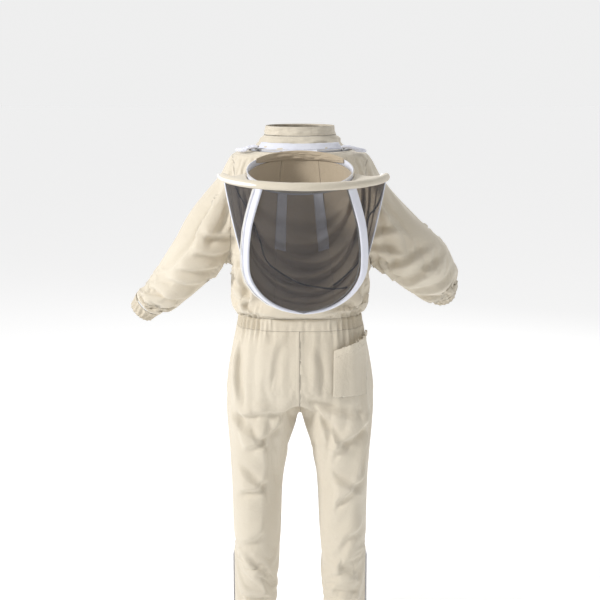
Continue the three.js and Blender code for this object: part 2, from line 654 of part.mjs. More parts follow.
// Side seam of the hood, from the hoop's end at the ear up and forward to the arch.
const SEAM_MEETS = 0.3; // share of the arch, from its foot, where the side seam runs out
const seamLine = (mirror) => {
  const foot = hoopPoint(mirror < 0 ? 0 : 1);
  const head = archCurve.getPoint(mirror < 0 ? SEAM_MEETS : 1 - SEAM_MEETS);
  const knee = foot.clone().lerp(head, 0.5).add(new THREE.Vector3(mirror * 10, -8, 4));
  return new THREE.QuadraticBezierCurve3(foot, knee, head);
};
// How far the hoop bulges out from the straight line between a side seam's foot and the arch's foot.
const hoopBulge = HOOP.radius - Math.hypot(HOOP.radius + ARCH.foot, footReach - HOOP.middle) / 2;
const veilSide = (mirror) => (u, v) => {
  const share = v * 0.93 * SEAM_MEETS;
  const onArch = archCurve.getPoint(mirror < 0 ? share : 1 - share);
  const onSeam = seamLine(mirror).getPoint(v * 0.93);
  const place = onArch.clone().lerp(onSeam, u);
  const bow = Math.sin(Math.PI * u) * (1 - v);
  const out = new THREE.Vector3(mirror * 0.72, 0.69, 0);
  return place.addScaledVector(out, hoopBulge * bow).add(new THREE.Vector3(0, 0, -12 * bow));
};
const seamStrip = (mirror, wide, thick) => {
  const curve = seamLine(mirror);
  return sweep(new THREE.Shape(rounded(wide, thick, 1)), curve, 8);
};
for (const [name, mirror] of [
  ["left", -1],
  ["right", 1],
]) {
  const binding = seamStrip(mirror, 7, 7).subtract(hoodTrim);
  add(`side_seam_binding_${name}`, binding, whiteTape, worn);
  const net = sheet(veilSide(mirror), 5, 6, MESH);
  const room = seamStrip(mirror, 7 + 2 * GAP, 7 + 2 * GAP);
  add(`veil_side_net_${name}`, net.subtract(hoodTrim).subtract(room), netting, worn);
}

// Cloth of the hood: from the back half of its zip ring over the crown to the side seams and the arch.
const crownFront = (u) => {
  // from the left ear along the seam, over the arch and down to the right ear
  const part = 0.24;
  if (u < part) return seamLine(-1).getPoint(u / part);
  if (u > 1 - part) return seamLine(1).getPoint((1 - u) / part);
  return archCurve.getPoint(SEAM_MEETS + ((u - part) / (1 - 2 * part)) * (1 - 2 * SEAM_MEETS));
};
const ringPoint = (u) => {
  const a = -Math.PI * (1 - u);
  const r = NECK_RADIUS - TAPE / 2;
  return new THREE.Vector3(r * Math.cos(a), r * Math.sin(a), RING_TOP);
};
const crown = (u, v) => {
  const start = ringPoint(u);
  const end = crownFront(u);
  const lift = Math.sin(Math.PI * u);
  const rise = new THREE.Vector3((start.x / NECK_RADIUS) * 46 * lift, 26 * lift, 20 + 170 * lift ** 1.2);
  const first = start.clone().add(rise);
  const second = end.clone().add(new THREE.Vector3((end.x / 200) * 6, -24 - 118 * lift ** 2, 34 * lift ** 2));
  return new THREE.CubicBezierCurve3(start, first, second, end).getPoint(v);
};
const seams = seamStrip(-1, 7 + 2 * GAP, 7 + 2 * GAP).add(seamStrip(1, 7 + 2 * GAP, 7 + 2 * GAP));
const crownCloth = sheet(crown, 20, 8, CLOTH).subtract(hoodTrim).subtract(seams);
const crownSplit = [-58, 58];
const centreCrown = keep(crownCloth, side.right(crownSplit[0]), side.left(crownSplit[1]));
add("hood_back_panel", centreCrown, drill, worn);
add("hood_side_left_panel", keep(crownCloth, side.left(crownSplit[0])), drill, worn);
add("hood_side_right_panel", keep(crownCloth, side.right(crownSplit[1])), drill, worn);

// Chin panel: cloth from the front half of the zip ring out to the hoop.
const chin = (u, v) => {
  const a = Math.PI * (1 - u);
  const r = NECK_RADIUS + CLOTH;
  const start = new THREE.Vector3(r * Math.cos(a), r * Math.sin(a), RING_TOP - 6);
  const place = start.lerp(hoopPoint(u), v);
  place.z += 4 * Math.sin(Math.PI * v);
  return place;
};
const chinCloth = keep(sheet(chin, 16, 3, CLOTH), side.front());
add("chin_panel", chinCloth.subtract(hoodTrim).subtract(crownCloth).subtract(seams), drill, worn);

// Inside the hood: two white tapes down the back panel and a doubled patch between them.
function lining(from, to) {
  const [low, high] = [0.12, 0.48];
  const over = (u, v) => {
    const place = crown(0.5 + from + (to - from) * u, low + (high - low) * v);
    return place.add(new THREE.Vector3(0, 2.1, 0));
  };
  const clear = sheet(crown, 20, 8, CLOTH + 2 * GAP);
  return sheet(over, 2, 6, CLOTH + TAPE).subtract(clear);
}
add("hood_tape_left", lining(-0.075, -0.045), whiteTape, worn);
add("hood_tape_right", lining(0.045, 0.075), whiteTape, worn);
add("hood_patch", lining(-0.04, 0.04), drill, worn);

export default group;
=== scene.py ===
import math

import bmesh
import bpy
from mathutils import Matrix, Vector, noise


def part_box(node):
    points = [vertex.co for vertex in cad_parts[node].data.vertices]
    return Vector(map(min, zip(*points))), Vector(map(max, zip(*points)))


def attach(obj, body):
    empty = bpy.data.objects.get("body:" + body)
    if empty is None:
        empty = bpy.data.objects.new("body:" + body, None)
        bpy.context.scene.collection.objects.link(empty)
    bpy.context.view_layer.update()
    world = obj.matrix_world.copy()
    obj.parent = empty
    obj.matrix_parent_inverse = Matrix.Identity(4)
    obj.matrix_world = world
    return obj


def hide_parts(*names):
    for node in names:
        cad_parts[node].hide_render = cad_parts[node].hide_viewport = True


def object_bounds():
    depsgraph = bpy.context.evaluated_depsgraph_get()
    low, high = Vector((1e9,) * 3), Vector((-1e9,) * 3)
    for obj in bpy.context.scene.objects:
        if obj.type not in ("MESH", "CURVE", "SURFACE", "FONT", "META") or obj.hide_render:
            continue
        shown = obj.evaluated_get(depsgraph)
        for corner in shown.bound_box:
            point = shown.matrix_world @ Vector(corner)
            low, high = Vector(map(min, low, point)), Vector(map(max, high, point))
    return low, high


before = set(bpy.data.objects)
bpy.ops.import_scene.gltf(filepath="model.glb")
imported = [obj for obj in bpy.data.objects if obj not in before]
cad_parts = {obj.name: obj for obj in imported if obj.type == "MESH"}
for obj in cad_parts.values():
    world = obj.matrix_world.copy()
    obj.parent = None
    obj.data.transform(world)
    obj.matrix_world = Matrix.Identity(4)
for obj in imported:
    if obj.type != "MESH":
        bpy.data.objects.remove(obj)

cad_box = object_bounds()
scene = bpy.context.scene
MM = 0.001

# ------------------------------------------------------------ view, floor and light
# The suit is seen from behind, from a little above the shoulders, on a plain pale floor.
# A broad lamp high on the left models the folds, and a bright room fills the rest.
scene.view_settings.view_transform = "Standard"
camera = bpy.data.objects.new("camera", bpy.data.cameras.new("camera"))
scene.collection.objects.link(camera)
camera.location = (0, -3.3, 0.24)
camera.rotation_euler = (Vector((0, 0, -0.41)) - camera.location).to_track_quat("-Z", "Y").to_euler()
camera.data.lens = 73.8
camera.data.sensor_width = 36
scene.camera = camera

floor_mesh = bmesh.new()
bmesh.ops.create_grid(floor_mesh, x_segments=1, y_segments=1, size=40)
bmesh.ops.translate(floor_mesh, verts=floor_mesh.verts, vec=(0, 0, cad_box[0].z - 0.002))
floor = bpy.data.objects.new("floor", bpy.data.meshes.new("floor"))
floor_mesh.to_mesh(floor.data)
floor_mesh.free()
scene.collection.objects.link(floor)
paper = bpy.data.materials.new("pale_floor")
paper.use_nodes = True
paper.node_tree.nodes["Principled BSDF"].inputs["Base Color"].default_value = (0.96, 0.96, 0.96, 1)
paper.node_tree.nodes["Principled BSDF"].inputs["Roughness"].default_value = 0.9
paper.node_tree.nodes["Principled BSDF"].inputs["Emission Color"].default_value = (1, 1, 1, 1)
paper.node_tree.nodes["Principled BSDF"].inputs["Emission Strength"].default_value = 0.22
floor.data.materials.append(paper)

room = bpy.data.worlds.new("room")
room.use_nodes = True
sky = room.node_tree
direction = sky.nodes.new("ShaderNodeSeparateXYZ")
sky.links.new(sky.nodes.new("ShaderNodeTexCoord").outputs["Generated"], direction.inputs[0])
glow = sky.nodes.new("ShaderNodeMapRange")
glow.inputs["From Min"].default_value = -0.6
glow.inputs["From Max"].default_value = 0.8
glow.inputs["To Min"].default_value = 0.50
glow.inputs["To Max"].default_value = 0.86
sky.links.new(direction.outputs["Y"], glow.inputs["Value"])
sky.links.new(glow.outputs[0], sky.nodes["Background"].inputs["Strength"])
sky.nodes["Background"].inputs["Color"].default_value = (1, 1, 1, 1)
scene.world = room
for name, place, aim, size, power, tint in (
    ("key_light", (-3.0, -1.7, 1.6), (0, 0, -0.35), 0.8, 112, (1, 0.99, 0.98)),
    ("rear_light", (1.4, 3.0, 1.6), (0, 0, -0.3), 1.6, 40, (1, 1, 1)),
):
    lamp = bpy.data.objects.new(name, bpy.data.lights.new(name, "AREA"))
    lamp.data.size = size
    lamp.data.energy = power
    lamp.data.color = tint
    lamp.location = place
    lamp.rotation_euler = (Vector(aim) - lamp.location).to_track_quat("-Z", "Y").to_euler()
    scene.collection.objects.link(lamp)

# ------------------------------------------------------------ cloth finishes
# Cotton drill is a dense diagonal weave with slubs, faint wash marks and small creases; each seam is felled and
# sewn twice, so it shows as a raised strip with a groove and two rows of stitches.


def group_of(name, inputs, outputs):
    group = bpy.data.node_groups.new(name, "ShaderNodeTree")
    for label, kind, value in inputs:
        socket = group.interface.new_socket(label, in_out="INPUT", socket_type=kind)
        socket.default_value = value
    for label, kind in outputs:
        group.interface.new_socket(label, in_out="OUTPUT", socket_type=kind)
    return group, group.nodes.new("NodeGroupInput"), group.nodes.new("NodeGroupOutput")


def node(tree, kind, settings=None, **values):
    made = tree.nodes.new("ShaderNode" + kind)
    for key, value in (settings or {}).items():
        setattr(made, key, value)
    for key, value in values.items():
        socket = made.inputs[int(key[1:])] if key[0] == "i" and key[1:].isdigit() else made.inputs[key]
        if isinstance(value, bpy.types.NodeSocket):
            tree.links.new(value, socket)
        else:
            socket.default_value = value
    return made


def sums(tree, operation, a, b, c=None):
    made = node(tree, "Math", {"operation": operation}, i0=a, i1=b)
    if c is not None:
        made.inputs[2].default_value = c
    return made.outputs[0]


weave, weave_in, weave_out = group_of(
    "drill_weave",
    [("Threads per metre", "NodeSocketFloat", 900.0), ("Crumple", "NodeSocketFloat", 1.0)],
    [("Height", "NodeSocketFloat"), ("Tone", "NodeSocketFloat")],
)
where = node(weave, "TexCoord").outputs["Object"]
turned = node(weave, "Mapping", None, Vector=where, Rotation=(0.0, math.radians(33), math.radians(8))).outputs[0]
threads = node(
    weave, "TexWave", {"wave_type": "BANDS", "bands_direction": "DIAGONAL"}, Vector=turned, Distortion=0.6, Detail=1.0
)
weave.links.new(weave_in.outputs["Threads per metre"], threads.inputs["Scale"])
slubs = node(weave, "TexNoise", None, Vector=where, Scale=420.0, Detail=3.0, Roughness=0.6).outputs["Fac"]
crease = node(weave, "TexNoise", None, Vector=where, Scale=26.0, Detail=4.0, Roughness=0.55, Distortion=0.7)
crease = sums(weave, "ABSOLUTE", sums(weave, "SUBTRACT", crease.outputs["Fac"], 0.5), 0.0)
crease = sums(weave, "MULTIPLY", crease, weave_in.outputs["Crumple"])
washed = node(weave, "TexNoise", None, Vector=where, Scale=5.0, Detail=3.0, Roughness=0.5).outputs["Fac"]
fine = sums(weave, "ADD", sums(weave, "MULTIPLY", threads.outputs["Fac"], 0.10), sums(weave, "MULTIPLY", slubs, 0.16))
weave.links.new(sums(weave, "ADD", fine, sums(weave, "MULTIPLY", crease, 4.2)), weave_out.inputs["Height"])
shade = sums(weave, "ADD", sums(weave, "MULTIPLY", washed, 0.16), sums(weave, "MULTIPLY", slubs, 0.12))
weave.links.new(sums(weave, "ADD", shade, sums(weave, "MULTIPLY", threads.outputs["Fac"], 0.05)), weave_out.inputs["Tone"])

# Rows of stitches beside a seam: the mesh carries how far each point lies from its nearest seam, in metres.
sewing, sewing_in, sewing_out = group_of(
    "sewn_seams",
    [("Stitch rows", "NodeSocketFloat", 1.0)],
    [("Height", "NodeSocketFloat"), ("Thread", "NodeSocketFloat"), ("Groove", "NodeSocketFloat")],
)
away = node(sewing, "Attribute", {"attribute_name": "seam"}).outputs["Fac"]


def band(tree, distance, centre, half):
    off = sums(tree, "ABSOLUTE", sums(tree, "SUBTRACT", distance, centre), 0.0)
    return node(
        tree, "MapRange", {"interpolation_type": "SMOOTHSTEP", "clamp": True},
        Value=off, **{"From Min": 0.0, "From Max": half, "To Min": 1.0, "To Max": 0.0},
    ).outputs[0]


groove = band(sewing, away, 0.0, 0.0013)
felled = band(sewing, away, 0.005, 0.0062)
along = node(sewing, "TexCoord").outputs["Object"]
dash = node(sewing, "TexWave", {"bands_direction": "DIAGONAL"}, Vector=along, Scale=95.0, Distortion=0.0).outputs["Fac"]
dash = sums(sewing, "GREATER_THAN", dash, 0.3)
rows = sums(sewing, "MAXIMUM", band(sewing, away, 0.0022, 0.0009), band(sewing, away, 0.0085, 0.0009))
rows = sums(sewing, "MULTIPLY", sums(sewing, "MULTIPLY", rows, dash), sewing_in.outputs["Stitch rows"])
sewing.links.new(rows, sewing_out.inputs["Thread"])
sewing.links.new(groove, sewing_out.inputs["Groove"])
raised = sums(sewing, "SUBTRACT", sums(sewing, "MULTIPLY", felled, 0.55), groove)
sewing.links.new(sums(sewing, "ADD", raised, sums(sewing, "MULTIPLY", rows, 0.35)), sewing_out.inputs["Height"])


def cloth_finish(name, colour, shadow, rough=0.92, crumple=1.0, seams=1.0, sheen=0.25, threads_per_metre=900.0):
    made = bpy.data.materials.new(name)
    made.use_nodes = True
    tree = made.node_tree
    surface = tree.nodes["Principled BSDF"]
    surface.inputs["Roughness"].default_value = rough
    surface.inputs["Sheen Weight"].default_value = sheen
    surface.inputs["Sheen Roughness"].default_value = 0.6
    surface.inputs["Specular IOR Level"].default_value = 0.25
    woven = tree.nodes.new("ShaderNodeGroup")
    woven.node_tree = weave
    woven.inputs["Threads per metre"].default_value = threads_per_metre
    woven.inputs["Crumple"].default_value = crumple
    sewn = tree.nodes.new("ShaderNodeGroup")
    sewn.node_tree = sewing
    sewn.inputs["Stitch rows"].default_value = seams
    tone = node(tree, "MapRange", None, Value=woven.outputs["Tone"], **{"From Min": 0.08, "From Max": 0.24}).outputs[0]
    plain = node(tree, "Mix", {"data_type": "RGBA"}, Factor=tone, A=(*shadow, 1), B=(*colour, 1)).outputs["Result"]
    # Painted shade: the colour darkens towards 0.45 of the shadow tone along the bottom of each seam's groove.
    groove_painted_shade = sums(tree, "MULTIPLY", sewn.outputs["Groove"], 0.30 * seams)
    edged = node(tree, "Mix", {"data_type": "RGBA"}, Factor=groove_painted_shade, A=plain, B=(*[0.45 * c for c in shadow], 1))
    pale = [min(1, 1.12 * c) for c in colour]
    thread = sums(tree, "MULTIPLY", sewn.outputs["Thread"], 0.5)
    final = node(tree, "Mix", {"data_type": "RGBA"}, Factor=thread, A=edged.outputs["Result"], B=(*pale, 1))
    tree.links.new(final.outputs["Result"], surface.inputs["Base Color"])
    relief = sums(tree, "ADD", woven.outputs["Height"], sums(tree, "MULTIPLY", sewn.outputs["Height"], 1.1 * seams))
    bump = node(tree, "Bump", None, Height=relief, Strength=0.55, Distance=0.0012)
    tree.links.new(bump.outputs[0], surface.inputs["Normal"])
    return made


def srgb(r, g, b):
    return tuple((c / 255 / 12.92) if c / 255 <= 0.04045 else ((c / 255 + 0.055) / 1.055) ** 2.4 for c in (r, g, b))


drill = cloth_finish("khaki_drill", srgb(216, 208, 192), srgb(199, 189, 170))
# The gathered drill is the same cloth in a darker tone: painted shade among the pleats of the waist elastic and the
# cuffs.
drill_gathered_painted_shade = cloth_finish("gathered_drill_painted_shade", srgb(208, 199, 181), srgb(187, 176, 156), crumple=1.4)
# The hood's drill is the same cloth in a darker tone: painted shade for the inside of the thrown-back hood, used for
# the crown, its patch and the rolls at the nape.
drill_hood_painted_shade = cloth_finish("hood_drill_painted_shade", srgb(196, 181, 158), srgb(174, 158, 134), crumple=1.2)
cotton_tape = cloth_finish("white_tape", srgb(229, 230, 238), srgb(208, 211, 224), rough=0.8, crumple=0.5, seams=0.0)

# ------------------------------------------------------------ coverall: cutting the shape
# Body, sleeves and trousers are one skin of cloth, cut to the suit's size and later parted along its seams.
# Each part is a row of closed loops; the whole is melted into one even net of small squares that can drape.


def loop(bm, count, place):
    points = bmesh.ops.create_circle(bm, cap_ends=False, radius=1, segments=count)["verts"]
    edges = list({e for v in points for e in v.link_edges})
    for v in points:
        v.co = place(math.atan2(v.co.y, v.co.x))
    return edges


def skin(bm, loops, ends=True):
    for lower, upper in zip(loops, loops[1:]):
        bmesh.ops.bridge_loops(bm, edges=lower + upper)
    for end in (loops[0], loops[-1]) if ends else ():
        bmesh.ops.contextual_create(bm, geom=end)


def level(z, half_width, back, front, roundness=2.0, middle=0.0, grow=0.0):
    def place(angle):
        c, s = math.cos(angle), math.sin(angle)
        out = [math.copysign(abs(t) ** (2 / roundness), t) for t in (c, s)]
        depth = (back if s < 0 else front) + grow
        return Vector((middle + (half_width + grow) * out[0], depth * out[1], z)) * MM
    return place


NECK = 133.3
WAIST = (-440, -472)
BODY = [
    (14, NECK, NECK, NECK, 2), (-1.5, NECK, NECK, NECK, 2), (-5, 166, 132, 130, 2.1), (-14, 190, 130, 127, 2.2),
    (-30, 205, 128, 123.5, 2.35), (-60, 211, 126, 122, 2.5), (-120, 207, 125, 122, 2.5), (-200, 199, 125, 122, 2.5),
    (-280, 193, 122, 122, 2.5), (-350, 190, 117, 122, 2.5), (-405, 182, 112, 122, 2.5), (-440, 168, 109, 122, 2.5),
    (-472, 172, 109, 122, 2.5), (-545, 190, 122, 122, 2.5), (-600, 201, 132, 122, 2.45), (-645, 207, 134, 120, 2.35),
    (-675, 203, 112, 102, 2.1),
]
LEG = [
    (-560, 88, 92, 90, 2.2, 95), (-630, 99, 112, 103, 2.2, 102), (-690, 103, 116, 106, 2.1, 104),
    (-750, 96, 106, 100, 2, 107), (-815, 84, 96, 94, 2, 112), (-890, 75, 86, 88, 2, 117), (-960, 71, 80, 86, 2, 119),
    (-1130, 65, 78, 74, 2, 122), (-1370, 60, 66, 66, 2, 127), (-1395, 60, 66, 66, 2, 127),
]
LEFT_ARM = [
    (-128, 0, -78, 76, 72), (-230, 0, -184, 76, 74), (-267, 2, -244, 75, 72), (-307, 8, -298, 70, 66),
    (-374, 28, -375, 56, 56), (-419, 50, -427, 44, 46),
]
RIGHT_ARM = [
    (128, 0, -78, 78, 72), (238, 0, -208, 82, 74), (290, 8, -254, 82, 74), (342, 34, -300, 82, 72),
    (380, 84, -352, 66, 60), (397, 124, -398, 50, 50),
]
WRIST = {-1: Vector((-0.6233, 0.3047, -0.7202)), 1: Vector((0.2686, 0.6321, -0.7269))}


def along_path(rows, t):
    place = t * (len(rows) - 1)
    i = min(int(place), len(rows) - 2)
    f = place - i
    four = [Vector(rows[min(max(i + k, 0), len(rows) - 1)]) for k in (-1, 0, 1, 2)]
    a, b, c, d = four
    return 0.5 * ((2 * b) + (c - a) * f + (2 * a - 5 * b + 4 * c - d) * f * f + (3 * b - a - 3 * c + d) * f ** 3)


def arm_loops(bm, rows, grow, beyond=22):
    side = 1 if rows[0][0] > 0 else -1
    loops = []
    for t in [k / 14 for k in range(15)] + [None]:
        row = along_path(rows, 1 if t is None else t)
        middle, wide, deep = Vector(row[:3]), row[3] + grow, row[4] + grow
        if t is None or t == 1:
            onward = WRIST[side]
        else:
            onward = (Vector(along_path(rows, min(t + 0.02, 1))[:3]) - middle).normalized()
        if t is None:
            middle = middle + onward * beyond
        across = onward.cross(Vector((0, 1, 0))).normalized()
        through = across.cross(onward).normalized()
        loops.append(loop(bm, 36, lambda a: (middle + across * wide * math.cos(a) + through * deep * math.sin(a)) * MM))
    return loops


def cut_suit(name, grow, cell):
    """The whole suit's outside as one closed skin, every loop drawn in or let out by grow millimetres."""
    bm = bmesh.new()
    skin(bm, [loop(bm, 64, level(*row[:5], 0, grow)) for row in BODY])
    for side in (-1, 1):
        skin(bm, [loop(bm, 40, level(*row[:5], side * row[5], grow)) for row in LEG])
    for rows in (LEFT_ARM, RIGHT_ARM):
        skin(bm, arm_loops(bm, rows, grow))
    bmesh.ops.recalc_face_normals(bm, faces=bm.faces)
    made = bpy.data.objects.new(name, bpy.data.meshes.new(name))
    bm.to_mesh(made.data)
    bm.free()
    scene.collection.objects.link(made)
    melt = made.modifiers.new("melt", "REMESH")
    melt.mode = "VOXEL"
    melt.voxel_size = cell
    soften = made.modifiers.new("soften", "SMOOTH")
    soften.factor = 0.5
    soften.iterations = 6
    settle(made)
    return made


def settle(piece):
    """Makes a piece's modifiers part of its mesh."""
    bpy.context.view_layer.update()
    done = bpy.data.meshes.new_from_object(piece.evaluated_get(bpy.context.evaluated_depsgraph_get()))
    piece.modifiers.clear()
    piece.data = done


def trim(bm, place, outwards, geom=None):
    """Cuts everything beyond a plane away."""
    everything = geom or bm.verts[:] + bm.edges[:] + bm.faces[:]
    bmesh.ops.bisect_plane(bm, geom=everything, plane_co=place, plane_no=outwards, clear_outer=True)


suit = cut_suit("suit", 0, 0.0085)
bm = bmesh.new()
bm.from_mesh(suit.data)
trim(bm, (0, 0, 0.001), (0, 0, 1))
trim(bm, (0, 0, -1.3695), (0, 0, -1))
for rows in (LEFT_ARM, RIGHT_ARM):
    side = 1 if rows[0][0] > 0 else -1
    end = Vector(rows[-1][:3]) * MM
    near = {f for f in bm.faces if (f.calc_center_median() - end).length < 0.09}
    geom = list(near | {v for f in near for v in f.verts} | {e for f in near for e in f.edges})
    trim(bm, end, WRIST[side], geom)
bm.to_mesh(suit.data)
bm.free()

# ------------------------------------------------------------ coverall: draping
# The cloth is cut a little full and hangs on a wearer's body, held at the neckline, the front zip, the waist
# casing, the wrists and the ankles, so its spare length falls into folds between them.
wearer = cut_suit("wearer", -17, 0.016)
wearer.modifiers.new("solid", "COLLISION")
wearer.collision.thickness_outer = 0.004
wearer.collision.cloth_friction = 12


def drape(piece, held, frames, fullness, bending=14.0, tension=30.0, collide=True, quality=6):
    """Lets a piece of cloth fall; held is how firmly each point is held, from 0 to 1. Gives each point's new place."""
    group = piece.vertex_groups.new(name="held")
    for index, weight in enumerate(held):
        if weight > 0:
            group.add([index], min(weight, 1), "REPLACE")
    fall = piece.modifiers.new("fall", "CLOTH")
    fall.settings.quality = quality
    fall.settings.mass = 0.32
    fall.settings.air_damping = 3
    for kind in ("tension", "compression", "shear"):
        setattr(fall.settings, kind + "_stiffness", tension if kind != "shear" else tension / 2)
        setattr(fall.settings, kind + "_damping", 8)
    fall.settings.bending_stiffness = bending
    fall.settings.bending_damping = 1.0
    fall.settings.vertex_group_mass = "held"
    fall.settings.shrink_min = -fullness
    fall.collision_settings.use_collision = collide
    fall.collision_settings.distance_min = 0.003
    fall.point_cache.frame_start = 1
    fall.point_cache.frame_end = frames
    scene.frame_start, scene.frame_end = 1, frames
    for step in range(1, frames + 1):
        scene.frame_set(step)
    shape = piece.evaluated_get(bpy.context.evaluated_depsgraph_get()).to_mesh()
    places = [v.co.copy() for v in shape.vertices]
    piece.modifiers.clear()
    scene.frame_set(1)
    return places


def ramp(value, low, high):
    t = min(max((value - low) / (high - low), 0), 1)
    return t * t * (3 - 2 * t)


def held_at(p):
    """How firmly the suit is held at a point: at its zips, waist, neck and ends."""
    neck = ramp(p.z, -0.022, -0.006)
    waist = 0.9 - 0.9 * ramp(abs(p.z + 0.456), 0.006, 0.016)
    zip_ = (1 - ramp(abs(p.x), 0.018, 0.034)) * ramp(p.y, 0.08, 0.1) * ramp(p.z, -0.67, -0.65)
    ankle = 1 - ramp(p.z, -1.362, -1.35)
    ankle_zip = ramp(abs(p.x), 0.165, 0.175) * (1 - ramp(abs(p.y), 0.014, 0.026)) * (1 - ramp(p.z, -1.13, -1.11))
    wrist = 0.0
    for side, rows in ((-1, LEFT_ARM), (1, RIGHT_ARM)):
        if p.x * side > 0.3 and (p - Vector(rows[-1][:3]) * MM).length < 0.11:
            wrist = 1 - ramp((Vector(rows[-1][:3]) * MM - p).dot(WRIST[side]), 0.004, 0.014)
    return max(neck, waist, zip_, ankle, ankle_zip, wrist)


cut = [v.co.copy() for v in suit.data.vertices]
outward = [v.normal.copy() for v in suit.data.vertices]
hung = drape(suit, [held_at(p) for p in cut], 36, 0.034)
for i, (start, now, out) in enumerate(zip(cut, hung, outward)):
    shift = now - start
    proud = shift.dot(out)
    if proud > 0.012:
        shift -= out * (proud - 0.012) * 0.8
    shift *= 1 - 0.55 * ramp(-start.z, 0.47, 0.52)
    if shift.length > 0.045:
        shift *= 0.045 / shift.length
    hung[i] = start + shift
bpy.data.objects.remove(wearer)

# ------------------------------------------------------------ coverall: parting along the seams
# Side seams, armholes, waist casing, crotch seams and the zip's opening. Each line is cut in the cloth as it lay
# before it was hung, so it follows the folds; the cloth remembers how far each point lies from its seam.
bm = bmesh.new()
bm.from_mesh(suit.data)
now_at = bm.verts.layers.float_vector.new("hung")
for v, place in zip(bm.verts, hung):
    v[now_at] = place
bmesh.ops.subdivide_edges(bm, edges=bm.edges, cuts=1, use_grid_fill=True, smooth=0)
waist_sides = [
    e for e in bm.edges
    if all(abs(v.co.z + 0.456) < 0.065 and abs(v.co.x) > 0.085 and abs(v.co.x) < 0.2 for v in e.verts)
]
bmesh.ops.subdivide_edges(bm, edges=waist_sides, cuts=1, use_grid_fill=True, smooth=0)
ARMHOLE = {
    side: (Vector((side * 0.178, 0, -0.005)), Vector((side * 0.997, 0, 0.07)).normalized()) for side in (-1, 1)
}


def slit(place, normal, wanted):
    faces = [f for f in bm.faces if wanted(f.calc_center_median())]
    geom = list(set(faces) | {v for f in faces for v in f.verts} | {e for f in faces for e in f.edges})
    bmesh.ops.bisect_plane(bm, geom=geom, plane_co=place, plane_no=normal)


slit((0, 0, 0), (0, 1, 0), lambda p: True)
slit((0, 0, 0), (1, 0, 0), lambda p: p.z < -0.46)
for z in WAIST:
    slit((0, 0, z * MM), (0, 0, 1), lambda p: abs(p.z - z * MM) < 0.03 and abs(p.x) < 0.25)
for x in (-0.112, 0.112):
    slit((x, 0, 0), (1, 0, 0), lambda p: -0.475 < p.z < -0.437)
for side, (place, normal) in ARMHOLE.items():
    slit(place, normal, lambda p: p.x * side > 0.1 and p.z > -0.33)
for x in (-0.0132, 0.0132):
    slit((x, 0, 0), (1, 0, 0), lambda p: p.y > 0.03 and p.z > -0.66)
slit((0, 0, -0.640), (0, 0, 1), lambda p: p.y > 0.03 and abs(p.x) < 0.03 and p.z > -0.67)


def sleeve_side(p):
    for side, (place, normal) in ARMHOLE.items():
        if p.x * side > 0.1 and p.z > -0.33 - 9 * (abs(p.x) > 0.23) and (p - place).dot(normal) > 0:
            return side
    return 0


def panel_at(p):
    side = sleeve_side(p)
    if side:
        return "sleeve_left" if side < 0 else "sleeve_right"
    hand = "left" if p.x < 0 else "right"
    if p.z > WAIST[1] * MM and abs(p.x) < 0.0132 and p.y > 0.03:
        return None
    if p.z > WAIST[0] * MM:
        return "torso_back_panel" if p.y < 0 else f"torso_front_{hand}_panel"
    if p.z > WAIST[1] * MM:
        if abs(p.x) > 0.112:
            return f"waist_elastic_{hand}"
        return "waistband_back" if p.y < 0 else f"waistband_front_{hand}"
    if p.z > -0.640 and abs(p.x) < 0.0132 and p.y > 0.03:
        return None
    return f"trouser_back_{hand}_panel" if p.y < 0 else f"trouser_front_{hand}_panel"


def seam_distance(p, panel):
    away = [0.05, abs(p.z - 0.001)]
    if not panel.startswith("sleeve"):
        away += [abs(p.z - z * MM) for z in WAIST]
        if abs(p.x) > 0.1 or p.z < -0.66:
            away.append(abs(p.y))
    if panel.startswith(("torso", "sleeve")):
        away += [abs((p - place).dot(normal)) for side, (place, normal) in ARMHOLE.items() if p.x * side > 0.05]
    if panel.startswith("trouser"):
        away.append(abs(p.x))
        away.append(abs(p.z + 1.3695))
    if p.y > 0.03 and p.z > -0.645:
        away.append(abs(abs(p.x) - 0.0132) + 0.0)
    if panel.startswith("sleeve"):
        away.append(abs(p.y - 0.012) if p.z < -0.2 else 0.05)
    return min(away)


seam = bm.verts.layers.float.new("seam")
rest_at = bm.verts.layers.float_vector.new("rest")
panels = {}
for f in bm.faces:
    panels.setdefault(panel_at(f.calc_center_median()), []).append(f)
for v in bm.verts:
    v[rest_at] = v.co
for panel, faces in panels.items():
    for f in faces:
        f.material_index = 0
        f.smooth = True


